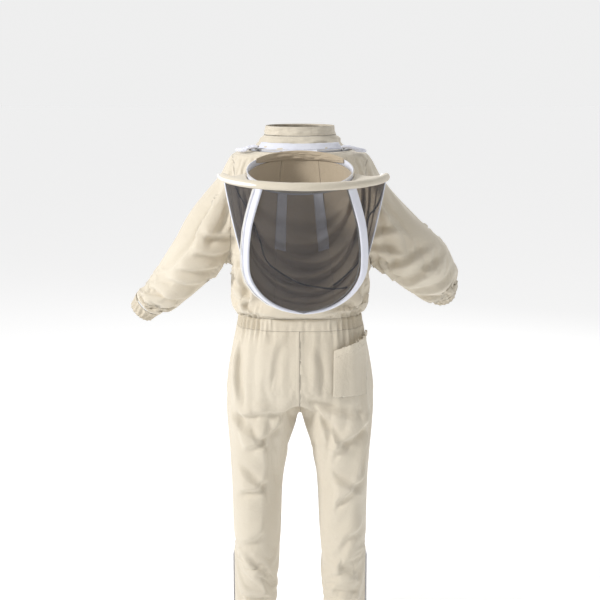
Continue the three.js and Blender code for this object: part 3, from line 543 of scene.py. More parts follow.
# Creases pressed in by wear: each runs between two points of the cut cloth and is a soft roll with a valley under
# it. They fan out from the armpits, the elbows, the seat and the backs of the knees, and pile up over the ankles.
CREASES = [
    # fanning out from the crotch over the seat and the thighs
    ((0.005, -0.11, -0.690), (0.120, -0.11, -0.800), 16, 9), ((0.010, -0.11, -0.672), (0.175, -0.10, -0.722), 14, 7),
    ((-0.01, -0.11, -0.688), (-0.150, -0.10, -0.795), 16, 9), ((-0.01, -0.11, -0.668), (-0.175, -0.10, -0.698), 13, 7),
    ((-0.19, -0.06, -0.705), (-0.060, -0.11, -0.830), 15, 8), ((0.190, -0.06, -0.690), (0.070, -0.11, -0.815), 15, 8),
    ((-0.19, -0.07, -0.520), (-0.175, -0.10, -0.690), 13, 7), ((0.195, -0.06, -0.740), (0.150, -0.09, -0.880), 14, 7),
    ((-0.06, -0.11, -0.500), (-0.090, -0.12, -0.610), 15, 4), ((0.040, -0.12, -0.520), (0.030, -0.12, -0.640), 15, 4),
    # backs of the knees and the calves
    ((-0.05, -0.08, -0.865), (-0.170, -0.07, -0.925), 14, 8), ((0.050, -0.08, -0.880), (0.170, -0.07, -0.930), 14, 8),
    ((-0.17, -0.07, -0.860), (-0.065, -0.08, -0.960), 13, 7), ((0.180, -0.06, -0.865), (0.075, -0.08, -0.975), 13, 7),
    ((-0.06, -0.08, -1.000), (-0.165, -0.06, -1.075), 15, 6), ((0.170, -0.06, -1.010), (0.080, -0.08, -1.090), 15, 6),
    ((-0.16, -0.07, -1.120), (-0.080, -0.07, -1.200), 14, 6), ((0.080, -0.07, -1.130), (0.165, -0.06, -1.205), 14, 6),
    # fronts of the knees and the lap
    ((-0.06, 0.08, -0.900), (-0.17, 0.06, -0.930), 13, 6), ((0.06, 0.08, -0.910), (0.17, 0.06, -0.940), 13, 6),
    ((-0.01, 0.11, -0.685), (-0.15, 0.09, -0.630), 13, 7), ((0.01, 0.11, -0.685), (0.15, 0.09, -0.630), 13, 7),
    ((-0.02, 0.10, -0.715), (-0.15, 0.08, -0.800), 14, 6), ((0.02, 0.10, -0.715), (0.15, 0.08, -0.800), 14, 6),
    # cloth piled over the ankles
    ((-0.07, -0.07, -1.330), (-0.18, -0.04, -1.318), 10, 7), ((0.07, -0.07, -1.325), (0.18, -0.04, -1.335), 10, 7),
    ((-0.07, -0.07, -1.285), (-0.17, -0.05, -1.300), 11, 7), ((0.07, -0.07, -1.290), (0.17, -0.05, -1.278), 11, 7),
    ((-0.08, 0.07, -1.325), (-0.18, 0.04, -1.335), 10, 7), ((0.08, 0.07, -1.330), (0.18, 0.04, -1.318), 10, 7),
    ((-0.08, -0.07, -1.240), (-0.17, -0.05, -1.225), 12, 5), ((0.08, -0.07, -1.235), (0.17, -0.05, -1.250), 12, 5),
    # from the armpits and the shoulders
    ((-0.18, -0.09, -0.240), (-0.13, -0.11, -0.360), 13, 7), ((0.18, -0.09, -0.230), (0.14, -0.11, -0.340), 13, 7),
    ((-0.19, -0.07, -0.270), (-0.17, -0.09, -0.400), 12, 7), ((0.19, -0.07, -0.260), (0.18, -0.09, -0.390), 12, 7),
    ((-0.19, -0.05, -0.330), (-0.14, -0.10, -0.425), 11, 6), ((0.19, -0.05, -0.320), (0.15, -0.10, -0.425), 11, 6),
    ((-0.14, -0.12, -0.060), (-0.20, -0.09, -0.200), 14, 6), ((0.14, -0.12, -0.060), (0.20, -0.09, -0.200), 14, 6),
    ((-0.13, 0.12, -0.080), (-0.18, 0.09, -0.240), 14, 5), ((0.13, 0.12, -0.080), (0.18, 0.09, -0.240), 14, 5),
    # left sleeve, straight: drag lines from the armpit and rolls at the elbow
    ((-0.17, -0.06, -0.210), (-0.26, -0.07, -0.190), 12, 7), ((-0.18, -0.06, -0.245), (-0.29, -0.07, -0.250), 12, 7),
    ((-0.20, -0.06, -0.120), (-0.26, -0.07, -0.220), 14, 6), ((-0.23, -0.06, -0.290), (-0.34, -0.05, -0.290), 11, 7),
    ((-0.26, -0.05, -0.335), (-0.36, -0.03, -0.315), 11, 7), ((-0.30, -0.04, -0.380), (-0.40, -0.02, -0.350), 10, 7),
    ((-0.35, -0.02, -0.415), (-0.43, 0.00, -0.385), 9, 6),
    # right sleeve, bent: rolls across the elbow and a long one down the back of the arm
    ((0.17, -0.06, -0.210), (0.27, -0.08, -0.200), 12, 7), ((0.18, -0.06, -0.250), (0.28, -0.08, -0.260), 12, 7),
    ((0.20, -0.06, -0.120), (0.29, -0.08, -0.210), 14, 6), ((0.24, -0.05, -0.300), (0.36, -0.05, -0.240), 12, 8),
    ((0.27, -0.03, -0.340), (0.40, -0.01, -0.270), 12, 8), ((0.31, 0.00, -0.370), (0.43, 0.03, -0.310), 11, 7),
    ((0.33, 0.05, -0.400), (0.44, 0.07, -0.340), 10, 7),
]


def creased(p, out):
    """How far the cloth at a cut point stands out or sinks because of the creases near it."""
    proud = 0.0
    inner = ramp(-out.x * math.copysign(1, p.x), 0.2, 0.6) * ramp(-p.z, 0.66, 0.70)
    if inner > 0.98:
        return proud
    for start, end, width, height in CREASES:
        start, end = Vector(start), Vector(end)
        line = end - start
        if (p - (start + end) / 2).length > line.length / 2 + 0.05:
            continue
        t = (p - start).dot(line) / line.length_squared
        away = p - (start + line * min(max(t, 0), 1))
        across = line.normalized().cross(out)
        wander = 0.010 * noise.noise(Vector((t * 2.3, start.x * 30, start.z * 30)))
        side = away.dot(across) + wander
        if away.dot(out) ** 2 > 0.05 ** 2:
            continue
        fade = ramp(t, -0.15, 0.25) * (1 - ramp(t, 0.72, 1.15))
        wide = 1.5 * width * MM
        roll = math.exp(-((side / (wide if side > 0 else 0.42 * wide)) ** 2))
        valley = math.exp(-(((side + 0.85 * wide) / (0.5 * wide)) ** 2))
        proud += fade * 1.35 * height * MM * (roll - 0.7 * valley)
    return max(min(proud, 0.013), -0.014) * (1 - inner)


def gathered(p, place):
    """The elastic at the sides of the waist draws the cloth into upright pleats that fade out above and below."""
    drawn = ramp(abs(p.x), 0.088, 0.118)
    fade = math.exp(-(((p.z + 0.456) / (0.052 if p.z > -0.456 else 0.036)) ** 2))
    round_ = math.atan2(p.y, p.x - math.copysign(0.04, p.x))
    pleat = math.cos(round_ * 50 + 5 * noise.noise(Vector((p.y * 14, p.x * 14, p.z * 6))))
    out = Vector((p.x, p.y, 0)).normalized()
    return place + out * drawn * fade * (0.0042 * pleat - 0.004)


for v in bm.verts:
    v.co = v[now_at]
bm.normal_update()
standing = [v.normal.copy() for v in bm.verts]
for v, out in zip(bm.verts, standing):
    p = v[rest_at]
    free = 1 - held_at(p)
    v.co = gathered(p, v[now_at] + out * (creased(p, out) * free))
bm.normal_update()
suit_mesh = bm.copy()


def panel_piece(name, wanted, rest_name=None):
    """A piece of the suit's cloth of its own: the faces whose place before hanging is wanted."""
    part = suit_mesh.copy()
    rest = part.verts.layers.float_vector["rest"]
    middle = lambda f: sum((v[rest] for v in f.verts), Vector()) / len(f.verts)
    bmesh.ops.delete(part, geom=[f for f in part.faces if not wanted(middle(f))], context="FACES")
    made = bpy.data.objects.new(name, bpy.data.meshes.new(name))
    return made, part


def finish_cloth(made, part, material, body, nodes, thick=0.0012, offset=-1.0, subdivide=0):
    part.to_mesh(made.data)
    part.free()
    scene.collection.objects.link(made)
    made.data.materials.append(material)
    for polygon in made.data.polygons:
        polygon.use_smooth = True
    if subdivide:
        rounder = made.modifiers.new("rounder", "SUBSURF")
        rounder.levels = rounder.render_levels = subdivide
    if thick:
        wall = made.modifiers.new("wall", "SOLIDIFY")
        wall.thickness = thick
        wall.offset = offset
    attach(made, body)
    if nodes:
        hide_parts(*nodes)
    return made


for panel in sorted(p for p in panels if p):
    made, part = panel_piece(panel.replace("_panel", "") + "_cloth", lambda p: panel_at(p) == panel)
    seams_at = part.verts.layers.float["seam"]
    rest = part.verts.layers.float_vector["rest"]
    for v in part.verts:
        v[seams_at] = seam_distance(v[rest], panel)
    gathered = panel.startswith("waist_elastic")
    # The waist elastic takes the darker drill, painted shade among its pleats.
    finish_cloth(made, part, drill_gathered_painted_shade if gathered else drill, "garment", [panel])
bm.free()
bpy.data.objects.remove(suit)

# ------------------------------------------------------------ cuffs
# Elastic sewn inside the end of each sleeve and leg draws it into fine pleats, with a turned hem at the end.


def cuff(name, loops_at, pleats, node_name):
    bm = bmesh.new()
    steps = 16
    loops = []
    for k in range(steps + 1):
        t = k / steps
        centre, across, through, wide, deep = loops_at(t)
        draw = 0.0026 * math.sin(math.pi * min(1, t * 1.15)) ** 0.5 if t < 0.9 else 0.0012
        def place(a, centre=centre, wide=wide, deep=deep, draw=draw, t=t):
            ripple = draw * math.cos(a * pleats + 0.9 * math.sin(3 * a + 4 * t))
            return centre + across * (wide + ripple) * math.cos(a) + through * (deep + ripple) * math.sin(a)
        loops.append(loop(bm, pleats * 8, place))
    skin(bm, loops, ends=False)
    seam_layer = bm.verts.layers.float.new("seam")
    ends = loops_at(1)[0]
    axis = (loops_at(1)[0] - loops_at(0)[0]).normalized()
    for v in bm.verts:
        v[seam_layer] = min(abs((ends - v.co).dot(axis)) + 0.0005, abs((v.co - loops_at(0)[0]).dot(axis)))
    bmesh.ops.recalc_face_normals(bm, faces=bm.faces)
    made = bpy.data.objects.new(name, bpy.data.meshes.new(name))
    # The cuffs take the darker drill, painted shade among their pleats.
    return finish_cloth(made, bm, drill_gathered_painted_shade, "garment", [node_name], thick=0.0016)


for side, hand in ((-1, "left"), (1, "right")):
    def ankle(t, side=side):
        z = -1.3695 - 0.0405 * t
        wide = 0.060 - 0.009 * math.sin(math.pi * min(t * 0.62, 1)) ** 0.8
        return Vector((side * (0.127 + 0.001 * t), 0, z)), Vector((1, 0, 0)), Vector((0, 1, 0)), wide, wide + 0.005
    cuff(f"ankle_gathers_{hand}", ankle, 26, f"ankle_cuff_{hand}")

    def wrist(t, side=side):
        rows = LEFT_ARM if side < 0 else RIGHT_ARM
        end = Vector(rows[-1][:3]) * MM
        onward = WRIST[side]
        across = onward.cross(Vector((0, 1, 0))).normalized()
        through = across.cross(onward).normalized()
        draw = math.sin(math.pi * min(t * 0.62, 1)) ** 0.8
        wide = rows[-1][3] * MM - (rows[-1][3] - 37) * MM * draw
        deep = rows[-1][4] * MM - (rows[-1][4] - 38) * MM * draw
        return end + onward * 0.0335 * t, across, through, wide, deep
    cuff(f"wrist_gathers_{hand}", wrist, 18, f"sleeve_cuff_{hand}")

# ------------------------------------------------------------ neck yoke and stand collar
# Inside the round zip a cone of cloth rises to a soft stand collar. It is cut full, so it lies in shallow rolls.
YOKE = [(-1, 128.8, 128.8, 128.8), (8, 120, 118, 118), (24, 108, 102, 100), (40, 96, 88, 86), (64, 91, 82, 80)]


def yoke_ring(z):
    for low, high in zip(YOKE, YOKE[1:]):
        if z <= high[0]:
            f = (z - low[0]) / (high[0] - low[0])
            return [a + (b - a) * f for a, b in zip(low, high)]
    return YOKE[-1]


def neck_cloth(name, low, high, steps, node_name):
    bm = bmesh.new()
    loops = []
    for k in range(steps + 1):
        z = low + (high - low) * k / steps
        _, wide, back, front = yoke_ring(z)
        edge = min(1, 4 * min(k, steps - k) / steps)
        def place(a, z=z, wide=wide, back=back, front=front, edge=edge):
            depth = back if math.sin(a) < 0 else front
            p = Vector((wide * math.cos(a), depth * math.sin(a), z))
            roll = noise.noise(Vector((2.1 * math.cos(a), 2.1 * math.sin(a), z * 0.085)))
            roll += 0.5 * noise.noise(Vector((6 * math.cos(a), 6 * math.sin(a) + 4, z * 0.2)))
            return (p + Vector((math.cos(a), math.sin(a), 0.5)) * 5.0 * roll * edge) * MM
        loops.append(loop(bm, 120, place))
    skin(bm, loops, ends=False)
    layer = bm.verts.layers.float.new("seam")
    for v in bm.verts:
        v[layer] = min(abs(v.co.z - high * MM) + 0.0004, abs(v.co.z - low * MM))
    bmesh.ops.recalc_face_normals(bm, faces=bm.faces)
    made = bpy.data.objects.new(name, bpy.data.meshes.new(name))
    finish_cloth(made, bm, drill, "garment", [node_name], thick=0.0014)


neck_cloth("yoke_cloth", -1, 40, 16, "neck_yoke")
neck_cloth("collar_cloth", 40.3, 64, 10, "collar_stand")

# ------------------------------------------------------------ patch pockets
# Each patch is a piece of the same drill laid over the draped panel, sewn down its sides and bottom with a double
# row, and hemmed along its open top, which stands away from the suit.


def pocket(name, node_name, facing, left, right, bottom, top, slant, belly):
    """left and right are in metres across the body; the top edge rises by slant from the inner to the outer side."""
    def edge_height(x):
        return top + slant * (x - left) / (right - left)
    def wanted(p):
        low, high = min(left, right), max(left, right)
        return low < p.x < high and bottom < p.z < edge_height(p.x) and p.y * facing > 0 and not sleeve_side(p)
    part = suit_mesh.copy()
    rest = part.verts.layers.float_vector["rest"]
    hung_at = part.verts.layers.float_vector["hung"]
    rough = [
        f for f in part.faces
        if not (min(left, right) - 0.02 < f.calc_center_median().x < max(left, right) + 0.02
                and bottom - 0.04 < f.calc_center_median().z < top + abs(slant) + 0.04
                and f.calc_center_median().y * facing > 0)
    ]
    bmesh.ops.delete(part, geom=rough, context="FACES")
    for v in part.verts:
        v[hung_at], v.co = v.co, v[rest]
    tilt = Vector((-slant, 0, right - left)) * (1 if right > left else -1)
    for place, normal in (
        ((left, 0, 0), (left - right, 0, 0)), ((right, 0, 0), (right - left, 0, 0)),
        ((0, 0, bottom), (0, 0, -1)), ((left, 0, top), tilt),
    ):
        trim(part, place, Vector(normal).normalized())
    layer = part.verts.layers.float["seam"]
    part.normal_update()
    lift = {}
    for v in part.verts:
        u = (v.co.x - left) / (right - left)
        h = (v.co.z - bottom) / (edge_height(v.co.x) - bottom)
        lift[v] = belly * math.sin(math.pi * min(max(u, 0), 1) ** 1.6) ** 0.8 * max(h, 0) ** 2.4
        sides = min(abs(v.co.x - left), abs(v.co.x - right), abs(v.co.z - bottom))
        v[layer] = min(sides, abs(abs(v.co.z - edge_height(v.co.x)) - 0.020)) if h < 0.995 else 0.004
    for v in part.verts:
        v.co = v[hung_at]
    for _ in range(24):
        bmesh.ops.smooth_vert(part, verts=part.verts, factor=0.5, use_axis_x=False, use_axis_y=True, use_axis_z=False)
    part.normal_update()
    normals = {v: v.normal.copy() for v in part.verts}
    for v in part.verts:
        outwards = (normals[v] * 0.4 + Vector((0, facing, 0))).normalized()
        v.co += normals[v] * 0.0042 + outwards * lift[v]
    made = bpy.data.objects.new(name, bpy.data.meshes.new(name))
    finish_cloth(made, part, drill, "garment", [node_name], thick=0.0016, offset=1.0)


pocket("seat_pocket", "back_pocket", -1, 0.090, 0.178, -0.648, -0.524, 0.034, 0.027)
pocket("front_pocket_left", "hip_pocket_left", 1, -0.040, -0.165, -0.650, -0.520, -0.030, 0.011)
pocket("front_pocket_right", "hip_pocket_right", 1, 0.040, 0.165, -0.650, -0.520, -0.030, 0.011)
pocket("breast_pocket", "chest_pocket", 1, -0.038, -0.128, -0.300, -0.178, 0.0, 0.009)
suit_mesh.free()

# ------------------------------------------------------------ zips
# White woven tape with a moulded tooth chain. The round neckline zip has one half on the suit and one on the hood.
tooth_plastic = bpy.data.materials.new("zip_teeth")
tooth_plastic.use_nodes = True
shell = tooth_plastic.node_tree.nodes["Principled BSDF"]
shell.inputs["Roughness"].default_value = 0.38
specks = node(tooth_plastic.node_tree, "TexNoise", None, Scale=300.0, Detail=2.0)
tooth_plastic.node_tree.links.new(node(tooth_plastic.node_tree, "TexCoord").outputs["Object"], specks.inputs["Vector"])
tint = node(
    tooth_plastic.node_tree, "Mix", {"data_type": "RGBA"},
    Factor=specks.outputs["Fac"], A=(*srgb(226, 222, 212), 1), B=(*srgb(242, 241, 238), 1),
)
tooth_plastic.node_tree.links.new(tint.outputs["Result"], shell.inputs["Base Color"])


def tooth_chain(bm, place_at, count, size):
    """A row of small moulded teeth; place_at(k) gives each tooth's matrix."""
    for k in range(count):
        for hand in (-1, 1):
            made = bmesh.ops.create_cube(bm, size=1)["verts"]
            bmesh.ops.scale(bm, vec=size, verts=made)
            bmesh.ops.translate(bm, vec=(hand * size[0] * 0.36, 0, hand * size[2] * 0.45), verts=made)
            bmesh.ops.transform(bm, matrix=place_at(k), verts=made)


def mesh_piece(name, bm, material, body, nodes=(), smooth=True):
    made = bpy.data.objects.new(name, bpy.data.meshes.new(name))
    bm.to_mesh(made.data)
    bm.free()
    scene.collection.objects.link(made)
    made.data.materials.append(material)
    for polygon in made.data.polygons:
        polygon.use_smooth = smooth
    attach(made, body)
    if nodes:
        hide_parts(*nodes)
    return made


def round_zip(name, low, high, bead_low, bead_high, body, node_name, turn):
    """Tape ring with a row of teeth along its edge; turn carries it from worn to where it rests."""
    tape = bmesh.new()
    first = [tape.verts.new(Vector((r, 0, z)) * MM) for r, z in ((129.6, low), (129.6, high), (130.8, high), (130.8, low))]
    edges = [tape.edges.new((first[i], first[(i + 1) % 4])) for i in range(4)]
    bmesh.ops.spin(
        tape, geom=first + edges, axis=(0, 0, 1), cent=(0, 0, 0), angle=2 * math.pi, steps=120, use_merge=True
    )
    bmesh.ops.recalc_face_normals(tape, faces=tape.faces)
    bmesh.ops.transform(tape, matrix=turn, verts=tape.verts)
    mesh_piece(name + "_tape", tape, cotton_tape, body, [node_name])
    teeth = bmesh.new()
    count = 330
    middle = (bead_low + bead_high) / 2 * MM
    def place_at(k):
        spin = Matrix.Rotation(2 * math.pi * k / count, 4, "Z")
        return turn @ spin @ Matrix.Translation((131.7 * MM, 0, middle)) @ Matrix.Rotation(math.pi / 2, 4, "X")
    tooth_chain(teeth, place_at, count, (0.0016, 0.0015, 0.0009))
    mesh_piece(name + "_teeth", teeth, tooth_plastic, body, smooth=False)


HINGE = Vector((0, -0.139, 0.008))
FLIP = Matrix.Translation(HINGE) @ Matrix.Rotation(math.radians(195), 4, "X") @ Matrix.Translation(-HINGE)
round_zip("suit_neck_zip", -1, 7.4, 4.5, 7.3, "garment", "neck_zip_tape", Matrix.Identity(4))
round_zip("hood_neck_zip", 8.6, 26, 8.7, 11.5, "hood", "hood_zip_tape", FLIP)

# The tape's upper edge is turned up over the yoke across the back, and its loose ends are bunched beside the sliders.
facing = bmesh.new()
bmesh.ops.create_grid(facing, x_segments=90, y_segments=8, size=0.5)
for v in facing.verts:
    a = math.radians(-90 + 128 * v.co.x)
    h = v.co.y + 0.5
    z = 6.5 + 15.5 * h + 1.6 * noise.noise(Vector((a * 5, 0, 3)))
    _, wide, back, front = yoke_ring(z)
    away = 2.4 + 1.2 * noise.noise(Vector((a * 8, h * 2, 0.7)))
    v.co = Vector(((wide + away) * math.cos(a), (back + away) * math.sin(a), z + 0.6)) * MM
bmesh.ops.recalc_face_normals(facing, faces=facing.faces)
made = mesh_piece("neck_tape_facing", facing, cotton_tape, "garment")
wall = made.modifiers.new("wall", "SOLIDIFY")
wall.thickness, wall.offset = 0.001, 0


def bunched_tape(name, path, seed):
    bm = bmesh.new()
    steps = 40
    loops = []
    for k in range(steps + 1):
        t = k / steps
        place = Vector(along_path(path, t))
        ahead = (Vector(along_path(path, min(t + 0.02, 1))) - Vector(along_path(path, max(t - 0.02, 0)))).normalized()
        across = ahead.cross(Vector((0, 0, 1))).normalized()
        out = across.cross(ahead).normalized()
        full = math.sin(math.pi * min(max(t, 0.03), 0.97)) ** 0.35
        def at(a, place=place, across=across, out=out, t=t, full=full):
            fold = 1 + 0.34 * noise.noise(Vector((1.7 * math.cos(a) + seed, 1.7 * math.sin(a), t * 7)))
            fold += 0.16 * math.sin(t * 44 + seed) * max(0, math.sin(a))
            return (place + across * 9.5 * full * fold * math.cos(a) + out * 5.2 * full * fold * math.sin(a)) * MM
        loops.append(loop(bm, 36, at))
    skin(bm, loops)
    bmesh.ops.recalc_face_normals(bm, faces=bm.faces)
    mesh_piece(name, bm, cotton_tape, "garment")


bunched_tape("bunched_tape_left", [(-108, -92, 14), (-128, -82, 12), (-145, -74, 5), (-158, -60, 3), (-166, -42, 2)], 1.3)
bunched_tape("bunched_tape_right", [(108, -92, 14), (130, -84, 12), (150, -72, 5), (164, -56, 1), (172, -36, -2)], 4.1)

front_teeth = bmesh.new()
TEETH = 290
tooth_chain(
    front_teeth,
    lambda k: Matrix.Translation((0, 0.1236, -0.034 - 0.600 * k / TEETH)),
    TEETH, (0.0034, 0.0022, 0.0011),
)
mesh_piece("front_tooth_chain", front_teeth, tooth_plastic, "garment", ["front_zip_teeth"], smooth=False)
for side, hand in ((-1, "left"), (1, "right")):
    low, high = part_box(f"front_zip_tape_{hand}")
    tape = bmesh.new()
    bmesh.ops.create_grid(tape, x_segments=4, y_segments=160, size=0.5)
    for v in tape.verts:
        across, up = v.co.x + 0.5, v.co.y + 0.5
        v.co = Vector((low.x + (high.x - low.x) * across, 0, low.z + (high.z - low.z) * up))
        v.co.y = high.y - 0.0004 + 0.0005 * noise.noise(v.co * 30)
    bmesh.ops.recalc_face_normals(tape, faces=tape.faces)
    made = mesh_piece(f"front_tape_{hand}", tape, cotton_tape, "garment", [f"front_zip_tape_{hand}"])
    wall = made.modifiers.new("wall", "SOLIDIFY")
    wall.thickness, wall.offset = 0.0009, 0

    low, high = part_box(f"ankle_zip_{hand}")
    tape, chain = bmesh.new(), bmesh.new()
    face = side * 0.1886
    bmesh.ops.create_grid(tape, x_segments=12, y_segments=60, size=0.5)
    for v in tape.verts:
        across, up = v.co.x, v.co.y + 0.5
        v.co = Vector((face, across * 0.025, low.z + (high.z - low.z) * up))
    made = mesh_piece(f"ankle_tape_{hand}", tape, cotton_tape, "garment", [f"ankle_zip_{hand}"])
    wall = made.modifiers.new("wall", "SOLIDIFY")
    wall.thickness, wall.offset = 0.0012, 0
    count = 104
    outwards = Matrix.Rotation(-side * math.pi / 2, 4, "Z")
    tooth_chain(
        chain,
        lambda k: Matrix.Translation((side * 0.1900, 0, low.z + 0.006 + 0.212 * k / count)) @ outwards,
        count, (0.0034, 0.0018, 0.0011),
    )
    mesh_piece(f"ankle_tooth_chain_{hand}", chain, tooth_plastic, "garment", smooth=False)

# Sliders and pulls are die-cast zinc, brushed by handling.
zinc = bpy.data.materials.new("cast_zinc")
zinc.use_nodes = True
cast = zinc.node_tree.nodes["Principled BSDF"]
cast.inputs["Metallic"].default_value = 1.0
tree = zinc.node_tree
spot = node(tree, "TexCoord").outputs["Object"]
worn_marks = node(tree, "TexNoise", None, Vector=spot, Scale=260.0, Detail=5.0, Roughness=0.65).outputs["Fac"]
colour = node(
    tree, "Mix", {"data_type": "RGBA"}, Factor=worn_marks, A=(0.46, 0.46, 0.47, 1), B=(0.74, 0.74, 0.73, 1)
).outputs["Result"]
tree.links.new(colour, cast.inputs["Base Color"])
tree.links.new(
    node(tree, "MapRange", None, Value=worn_marks, **{"To Min": 0.24, "To Max": 0.46}).outputs[0],
    cast.inputs["Roughness"],
)
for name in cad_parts:
    if "slider" in name or name.endswith("_pull") or "_pull_" in name:
        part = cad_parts[name]
        part.data.materials.clear()
        part.data.materials.append(zinc)

# ------------------------------------------------------------ tapes of the rear hinge and the throat tab
# Two short white cotton tapes join the hood to the neckline at the back, sewn down along both long edges.
# The throat tab and its base are folded drill, turned in and sewn round, so their edges are soft and round.
def turned_in(name, material, body, edge_distance):
    piece = bpy.data.objects.new(name + "_cloth", bpy.data.meshes.new(name + "_cloth"))
    part = bmesh.new()
    part.from_mesh(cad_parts[name].data)
    bmesh.ops.remove_doubles(part, verts=part.verts, dist=1e-5)
    part.to_mesh(piece.data)
    scene.collection.objects.link(piece)
    even = piece.modifiers.new("even", "REMESH")
    even.mode = "VOXEL"
    even.voxel_size = 0.0005
    settle(piece)
    part.clear()
    part.from_mesh(piece.data)
    for _ in range(3):
        bmesh.ops.smooth_vert(
            part, verts=part.verts, factor=0.5, use_axis_x=True, use_axis_y=True, use_axis_z=True
        )
    part.normal_update()
    seams_at = part.verts.layers.float.new("seam")
    for v in part.verts:
        v[seams_at] = edge_distance(v.co)
        v.co += v.normal * 0.0002 * noise.noise(v.co * 160)
    bpy.data.objects.remove(piece)
    return mesh_piece(name + "_cloth", part, material, body, [name])


for name, body, inner_edge, outer_edge in (
    ("neck_hinge_tape", "garment", 0.1256, 0.1387), ("hood_hinge_tape", "hood", 0.1390, 0.1520),
):
    turned_in(
        name, cotton_tape, body,
        lambda p: min(abs(math.hypot(p.x, p.y) - inner_edge), abs(math.hypot(p.x, p.y) - outer_edge)),
    )
turned_in("throat_tab", drill, "throat_flap", lambda p: min(p.x + 0.025, 0.025 - p.x, p.z + 0.036))
turned_in("throat_tab_base", drill, "garment", lambda p: min(p.x + 0.037, p.z + 0.034, -0.001 - p.z))
for name in ("hoop_rod", "face_arch_rod"):
    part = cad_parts[name]
    part.data.materials.clear()
    part.data.materials.append(tooth_plastic)

# ------------------------------------------------------------ hood: frame of hoop and arch
# Drawn as it is worn, about the middle of the neckline at the zip's height, then turned back over the shoulders.
ZIP_Z = 8


def on_hood(point):
    """From the worn hood's own millimetres to its place on the back."""
    return FLIP @ (Vector((point[0], point[1], point[2] + ZIP_Z)) * MM)


LEAN = 12


def hoop_at(t):
    a = math.pi * (1 - t)
    share = math.sin(a)
    return Vector((LEAN + 200 * math.cos(a), 10 + 200 * share, 12 - 45 * share))


ARCH_HALF = [
    (108, 178, -20), (124, 179, 34), (136, 174, 86), (143, 160, 160), (139, 144, 226), (109, 126, 286), (60, 114, 326)
]
ARCH = [Vector((LEAN - x, y, z)) for x, y, z in ARCH_HALF] + [Vector((LEAN, 110, 340))]
ARCH += [Vector((LEAN + x, y, z)) for x, y, z in reversed(ARCH_HALF)]


def arch_at(t):
    return Vector(along_path(ARCH, t))


def swept(name, count, frames, section, material, nodes, body="hood", close=True):
    """A strip or tube through frames of (place, across, out), its outline given by section(angle)."""
    bm = bmesh.new()
    loops = []
    for place, across, out in frames:
        loops.append(loop(bm, count, lambda a: on_hood(place + across * section(a)[0] + out * section(a)[1])))
    skin(bm, loops, ends=close)
    layer = bm.verts.layers.float.new("seam")
    for v in bm.verts:
        v[layer] = 0.05
    bmesh.ops.recalc_face_normals(bm, faces=bm.faces)
    return mesh_piece(name, bm, material, body, nodes)


def frames_along(at, middle, steps):
    made = []
    for k in range(steps + 1):
        t = k / steps
        ahead = (at(min(t + 0.01, 1)) - at(max(t - 0.01, 0))).normalized()
        out = at(t) - middle
        out = (out - ahead * out.dot(ahead)).normalized()
        made.append((at(t), ahead.cross(out).normalized(), out))
    return made


def padded(t, a):
    """Cloth wrapped round the hoop over soft padding, its raw edge turned under, drawn in towards the hoop's ends."""
    end = min(t, 1 - t)
    full = 9.6 * (0.55 + 0.45 * ramp(end, 0.0, 0.07))
    full += 0.9 * noise.noise(Vector((t * 17, 1.2 * math.cos(a), 1.2 * math.sin(a))))
    full += 1.1 * math.exp(-(((a + 2.2) / 0.16) ** 2))
    return full * math.cos(a), full * math.sin(a)


cover = bmesh.new()
cover_loops = []
hoop_frames = frames_along(hoop_at, Vector((LEAN, 10, 10)), 110)
for k, (place, across, out) in enumerate(hoop_frames):
    def on_cover(a, t=k / 110, place=place, across=across, out=out):
        x, y = padded(t, a)
        return on_hood(place + across * x + out * y)
    cover_loops.append(loop(cover, 30, on_cover))
skin(cover, cover_loops)
cover_seam = cover.verts.layers.float.new("seam")
for v in cover.verts:
    v[cover_seam] = 0.05
bmesh.ops.recalc_face_normals(cover, faces=cover.faces)
mesh_piece("padded_hoop", cover, drill, "hood", ["hoop_cover"])


def tape_section(half_wide, half_thick):
    def outline(a):
        c, s = math.cos(a), math.sin(a)
        grow = lambda t, p: math.copysign(abs(t) ** p, t)
        return half_wide * grow(c, 0.45), half_thick * grow(s, 0.7)
    return outline


arch_frames = [f for f in frames_along(arch_at, Vector((0, 20, 160)), 96)]
swept("face_arch_white_tape", 24, arch_frames, tape_section(12, 4), cotton_tape, ["face_arch_tape"])

# ------------------------------------------------------------ hood: netting
# Black polyester net, woven in small open cells, sewn into the arch, the hoop and the side seams.
net = bpy.data.materials.new("black_net")
net.use_nodes = True
tree = net.node_tree
yarn = tree.nodes["Principled BSDF"]
yarn.inputs["Roughness"].default_value = 0.75
yarn.inputs["Base Color"].default_value = (0.050, 0.048, 0.052, 1)
cells = node(tree, "UVMap", {"uv_map": "net"}).outputs[0]
lattice = node(
    tree, "TexVoronoi", {"feature": "DISTANCE_TO_EDGE"}, Vector=cells, Scale=1.0, Randomness=0.12
).outputs["Distance"]
strand = node(tree, "MapRange", None, Value=lattice, **{"From Min": 0.10, "From Max": 0.17, "To Min": 1.0, "To Max": 0.0})
veil = node(tree, "MapRange", None, Value=strand.outputs[0], **{"To Min": 0.34, "To Max": 0.94})
tree.links.new(veil.outputs[0], yarn.inputs["Alpha"])
net.surface_render_method = "BLENDED"


def net_sheet(name, at, columns, rows, node_name, across, down):
    """A net stretched over at(u, v), with so many cells across and down."""
    bm = bmesh.new()
    bmesh.ops.create_grid(bm, x_segments=columns, y_segments=rows, size=0.5)
    cell_map = bm.loops.layers.uv.new("net")
    for f in bm.faces:
        for corner in f.loops:
            u, v = corner.vert.co.x + 0.5, corner.vert.co.y + 0.5
            corner[cell_map].uv = (u * across, v * down)
    for v in bm.verts:
        u, w = v.co.x + 0.5, v.co.y + 0.5
        place = at(u, w)
        v.co = on_hood(place)
    bmesh.ops.recalc_face_normals(bm, faces=bm.faces)
    return mesh_piece(name, bm, net, "hood", [node_name])


